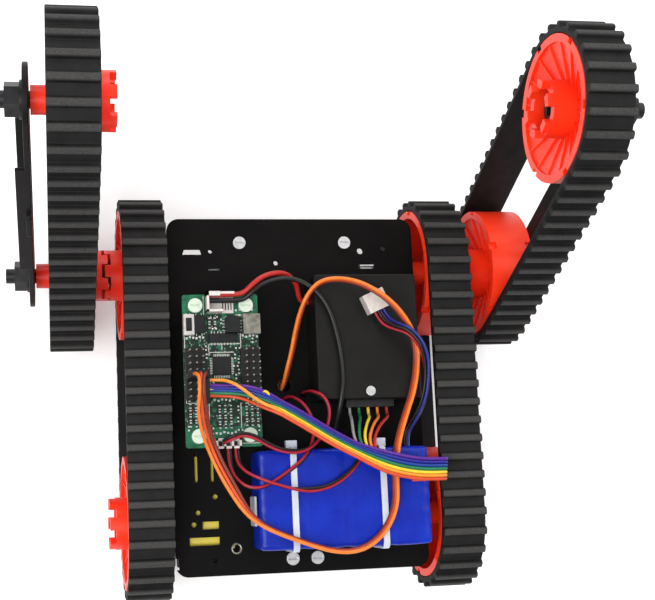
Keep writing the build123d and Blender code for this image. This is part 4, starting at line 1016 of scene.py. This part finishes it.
# %% Legs and solder
LEG = (0.3, 1.0, 0.25)  # width, length and height
CHIPS = [  # middle, size, pitch, legs on the X sides, legs on the Y sides
    ((-0.1, 1.7), (7.3, 7.3), 0.65, 10, 10),
    ((4.5, 17.6), (5.8, 6.1), 1.27, 4, 0),
    ((0.6, 12.6), (11.0, 3.4), 1.27, 0, 8),
    ((-8.6, 18.1), (4.4, 6.9), 2.2, 0, 2),
]
SOLDER_DOT = (0.4, 0.3)  # half its width, and its height
SOLDER_WAVER = 0.3  # of a row of dots, which is never quite straight
SOLDER_BEAT = 2.1  # radians of the waver from one dot to the next
SOLDER_ROWS = [  # first dot, how many, and the step
    ((6.2, 23.6), 5, 1.6), ((-13.6, 13.0), 6, 1.3), ((8.6, 13.4), 5, 1.4), ((-3.4, -11.6), 6, 1.5),
    ((-13.2, -11.4), 5, 1.5), ((8.6, -12.0), 4, 1.6), ((-3.0, -24.4), 6, 1.5), ((7.6, 21.4), 2, 5.4),
]
legs = bmesh.new()
for (x, y), (wide, long), pitch, on_x, on_y in CHIPS:
    for side in (-1, 1):
        for leg in range(on_x):
            place = y + (leg - (on_x - 1) / 2) * pitch
            reach = x + side * (wide + LEG[1]) / 2
            pad(legs, reach, place, LEG[1] / 2, LEG[0] / 2, 0, LEG[2])
        for leg in range(on_y):
            place = x + (leg - (on_y - 1) / 2) * pitch
            reach = y + side * (long + LEG[1]) / 2
            pad(legs, place, reach, LEG[0] / 2, LEG[1] / 2, 0, LEG[2])
for (x, y), count, step in SOLDER_ROWS:
    for dot in range(count):
        waver = SOLDER_WAVER * math.sin(dot * SOLDER_BEAT + x)
        pad(legs, x + dot * step, y + waver, SOLDER_DOT[0], SOLDER_DOT[0], 0, SOLDER_DOT[1])
finished("board_solder", legs, "chassis", "pin_metal", weighted=False, finishes=["solder"])
print("chips with legs", len(CHIPS), "rows of solder", len(SOLDER_ROWS))

# %% Chip resistors
PASSIVE_HALVES = (0.35, 0.7)  # half its width and half its length
PASSIVE_HEIGHT = 0.5
CAP_HALF = 0.32
CAP_HEIGHT = 0.52
PASSIVES = [  # middle of each chip resistor or capacitor, and whether it lies along Y
    (-3.2, 20.6, 0), (-1.4, 21.8, 1), (-2.6, 16.4, 0), (0.2, 19.2, 1), (8.8, 20.4, 1), (9.6, 14.6, 0),
    (6.4, 8.6, 0), (5.2, 5.4, 1), (6.6, 3.6, 1), (5.4, 1.6, 0), (6.6, -0.6, 1), (5.4, -2.6, 1),
    (-6.2, 8.8, 1), (-6.0, 5.6, 1), (-6.4, -5.2, 0), (-3.6, -5.4, 1), (-1.4, -6.0, 0), (2.6, -5.6, 1),
    (-6.0, -9.0, 1), (6.2, -7.6, 0), (-12.9, 22.2, 0), (12.4, 11.6, 1), (-6.4, -14.6, 1),
    (-6.6, -18.6, 1), (5.8, -15.0, 1), (5.6, -19.4, 1), (-5.0, -22.6, 0), (6.4, -23.4, 0),
    (-13.8, -22.4, 1), (13.8, -23.0, 1),
]
SMALL_GROUPS = [  # middle, columns and rows of the model's smallest parts
    (-10.8, -17.4, 3, 4), (0.6, -18.2, 3, 4), (11.2, -17.4, 3, 4), (-3.4, 18.6, 2, 2),
]
SMALL_PITCH = (2.2, 2.4)
SMALL_CAP = (0.42, 0.2)  # half its size
SMALL_CAP_HEIGHTS = (0.5, 0.84)
SMALL_REACH = 0.72  # from a part's middle to its cap's
passives = bmesh.new()
ends = bmesh.new()
for x, y, upright in PASSIVES:
    wide, long = PASSIVE_HALVES
    half = (wide, long) if upright else (long, wide)
    pad(passives, x, y, *half, 0, PASSIVE_HEIGHT)
    for side in (-1, 1):
        cap = (0, side * long) if upright else (side * long, 0)
        pad(ends, x + cap[0], y + cap[1], CAP_HALF, CAP_HALF, 0, CAP_HEIGHT)
for x, y, columns, rows in SMALL_GROUPS:
    for index in range(columns * rows):
        column, row = index % columns, index // columns
        middle = (x + (column - (columns - 1) / 2) * SMALL_PITCH[0],
                  y + (row - (rows - 1) / 2) * SMALL_PITCH[1])
        for side in (-SMALL_REACH, SMALL_REACH):
            pad(ends, middle[0], middle[1] + side, *SMALL_CAP, *SMALL_CAP_HEIGHTS)
finished("board_resistors", passives, "chassis", "chip_plastic", weighted=False)
finished("board_resistor_ends", ends, "chassis", "pin_metal", weighted=False, finishes=["solder"])
print("chip resistors", len(PASSIVES), "groups of small parts", len(SMALL_GROUPS))

# %% Painted shade in the slots of the sockets and the switch
SOCKET_SLOTS = [  # places along X, half the width, rear and front, foot and top
    ((0.9, 2.0, 3.1, 4.2), 0.22, (23.6, 27.6), (1.1, 1.24)),
    ((-1.9, 1.1, 4.1), 0.75, (-29.4, -27.8), (1.3, 1.6)),
]
SWITCH_SLOT = (1.15, 2.6)  # half its size
SWITCH_SLOT_HEIGHTS = (-0.1, 0.06)  # from the switch's upper face
# Dark plastic boxes lie in the sockets' openings and the switch's slot as painted shade for their
# depth.
slots = bmesh.new()
for middles, half_x, (rear, front), (foot, top) in SOCKET_SLOTS:
    for x in middles:
        block(slots, on_board(x - half_x, rear, foot), on_board(x + half_x, front, top))
switch_low, switch_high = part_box("switch_body")
switch_middle = (switch_low + switch_high) / 2 / MM
half_x, half_y = SWITCH_SLOT
foot, top = (switch_high.z / MM + height for height in SWITCH_SLOT_HEIGHTS)
block(slots, (switch_middle.x - half_x, switch_middle.y - half_y, foot),
      (switch_middle.x + half_x, switch_middle.y + half_y, top))
finished("socket_slots_painted_shade", slots, "chassis", "header_plastic", weighted=False)
print("slots", sum(len(row[0]) for row in SOCKET_SLOTS) + 1)

# %% Printed lines
PRINT_WIDTH = 0.28
PRINT_HEIGHT = 0.03
PRINTED = [  # start and end of each printed line
    ((-5.0, 10.4), (7.7, 10.4)), ((0.2, 10.4), (0.2, 8.1)), ((-5.0, 7.1), (4.8, 7.1)),
    ((7.7, 14.3), (7.7, -3.2)), ((-5.0, 10.4), (-5.0, 6.0)), ((9.9, -11.0), (9.9, -13.8)),
    ((9.9, -13.8), (14.6, -13.8)), ((7.0, -28.6), (14.6, -28.6)), ((-14.4, 13.2), (-14.4, -12.6)),
    ((5.9, 21.8), (12.6, 21.8)), ((-6.6, 14.4), (-6.6, 29.2)), ((-13.8, -12.6), (-6.6, -12.6)),
    ((-5.6, -12.8), (-5.6, -22.0)), ((6.9, -13.0), (6.9, -22.4)), ((-6.4, -24.6), (-4.2, -24.6)),
]
printed = bmesh.new()
for (x0, y0), (x1, y1) in PRINTED:
    half = PRINT_WIDTH / 2
    block(printed, on_board(min(x0, x1) - half, min(y0, y1) - half, 0),
          on_board(max(x0, x1) + half, max(y0, y1) + half, PRINT_HEIGHT))
finished("board_printing", printed, "chassis", "socket_white", weighted=False)
print("printed lines", len(PRINTED))

# %% [markdown]
# One hole in the deck, left of the battery, has a metal eyelet. It is a short sleeve with a
# rolled lip, so its profile is turned round the hole's middle.

# %% Eyelet in the deck
EYELET_PLACE = (-27.2, -61.8)
EYELET_PROFILE = [  # radius and height above the deck, from the sleeve's foot round its lip
    (1.5, -1.9), (1.5, 0.2), (1.75, 0.38), (2.1, 0.3), (2.3, 0.03), (1.95, 0.03), (1.95, -1.9),
]
EYELET_STEPS = 40
eyelet = bmesh.new()
eyelet_foot = at(*EYELET_PLACE, DECK_TOP / MM)
corners = [
    eyelet.verts.new(eyelet_foot + Vector((radius, 0, height)) * MM)
    for radius, height in EYELET_PROFILE
]
outline = [eyelet.edges.new(pair) for pair in zip(corners, corners[1:] + corners[:1])]
bmesh.ops.spin(eyelet, geom=corners + outline, cent=eyelet_foot, axis=(0, 0, 1), angle=math.tau,
               steps=EYELET_STEPS, use_merge=True, use_duplicate=False)
bmesh.ops.recalc_face_normals(eyelet, faces=eyelet.faces)
finished("deck_eyelet", eyelet, "chassis", "steel", weighted=False, finishes=["socket_metal"])
print("eyelet at", EYELET_PLACE)

# %% [markdown]
# The belts are ribbed rubber. The tops of the ribs are painted paler than the rubber between
# them, partly for dirt and rubbing and partly as a painted highlight where light catches them.
# Each point is marked by how far it lies from the line that joins the two axles, and the
# rubber's material reads that mark.

# %% Belts
BELT_EDGE = 0.4
RIB_FOOT = 30.35  # millimetres from the line, where the wear and the painted highlight start
RIB_TOP = 30.95  # and where it is full


def axle_of(wheel):
    """The middle of a wheel, seen along its axle."""
    low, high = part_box(wheel)
    return Vector((0, (low.y + high.y) / 2, (low.z + high.z) / 2))


def belt(name, node, body, start, end):
    """A belt round the axles at start and end, marked at its rib tops for wear and a painted highlight.
    """
    bm = rounded_copy(node, BELT_EDGE)
    rib_wear_and_highlight = bm.verts.layers.float.new("rib_wear_and_highlight")
    line = end - start
    for vertex in bm.verts:
        place = Vector((0, vertex.co.y, vertex.co.z))
        share = min(max((place - start).dot(line) / line.length_squared, 0), 1)
        reach = (place - start - share * line).length / MM
        vertex[rib_wear_and_highlight] = ease(reach, RIB_FOOT, RIB_TOP)
    return finished(name, bm, body, "belt_rubber", node)


for word in ("left", "right"):
    front, rear = axle_of(word + "_front_wheel"), axle_of(word + "_rear_wheel")
    base, tip = axle_of(word + "_flipper_wheel"), axle_of(word + "_tip_wheel")
    belt(word + "_track_belt", word + "_track", "chassis", rear, front)
    belt(word + "_flipper_belt", word + "_flipper_track", word + "_arm", base, tip)
print("belts marked from", RIB_FOOT, "to", RIB_TOP, "mm")

# %% [markdown]
# The battery is a block of cells in shrunk film. The film rounds its long edges, sinks a little
# between the cells, and gathers in small folds at its ends. A block of the battery's size is
# subdivided and moved by smooth noise, inwards only, so it stays inside its ties.

# %% Battery pack
CELLS = 4
WRAP_EDGE = 1.9  # millimetres, the radius of the film's edges
LONG_EDGE = 8.0  # millimetres, from which an edge is subdivided
BATTERY_CUTS = 40
SEAM_DIP = (0.72, 1.0)  # from a cell's middle at 0 to its seam at 1
DIP = 0.35  # millimetres, as are the two that follow
RIPPLE = 0.22
FOLD = 0.45
END_FOLDS = 9  # millimetres from each end with folds in the film
RIPPLE_SCALE = 90  # per metre
FOLD_SCALES = (60, 420)  # per metre, along the battery and across it


def wrapped_battery():
    """The battery's block with its film's dips and end folds."""
    low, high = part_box("battery_pack")
    size, middle = high - low, (low + high) / 2
    bm = bmesh.new()
    bmesh.ops.create_cube(bm, size=1)
    bmesh.ops.scale(bm, vec=size, verts=bm.verts)
    bmesh.ops.translate(bm, vec=middle, verts=bm.verts)
    bmesh.ops.bevel(bm, geom=bm.edges, offset=WRAP_EDGE * MM, segments=3, profile=0.5,
                    affect="EDGES", clamp_overlap=True, material=-1)
    long_edges = [e for e in bm.edges if e.calc_length() > LONG_EDGE * MM]
    bmesh.ops.subdivide_edges(bm, edges=long_edges, cuts=BATTERY_CUTS, use_grid_fill=True)
    bm.normal_update()
    cell = size.x / CELLS
    along, across = FOLD_SCALES
    for vertex in bm.verts:
        place = vertex.co - low
        seam = abs((place.x / cell) % 1 - 0.5) * 2
        end = ease(min(place.x, size.x - place.x) / MM, END_FOLDS, 0)
        dip = DIP * ease(seam, *SEAM_DIP)
        ripple = noise.noise(vertex.co * RIPPLE_SCALE) * 0.5 + 0.5
        fold_place = (vertex.co.x * along, vertex.co.y * across, vertex.co.z * across)
        fold = (noise.noise(Vector(fold_place)) + 1) / 2
        vertex.co -= vertex.normal * MM * (dip + RIPPLE * ripple + FOLD * end * fold)
    return bm


finished("battery_wrap", wrapped_battery(), "chassis", "battery_blue", "battery_pack", weighted=False)
print("battery wrapped")
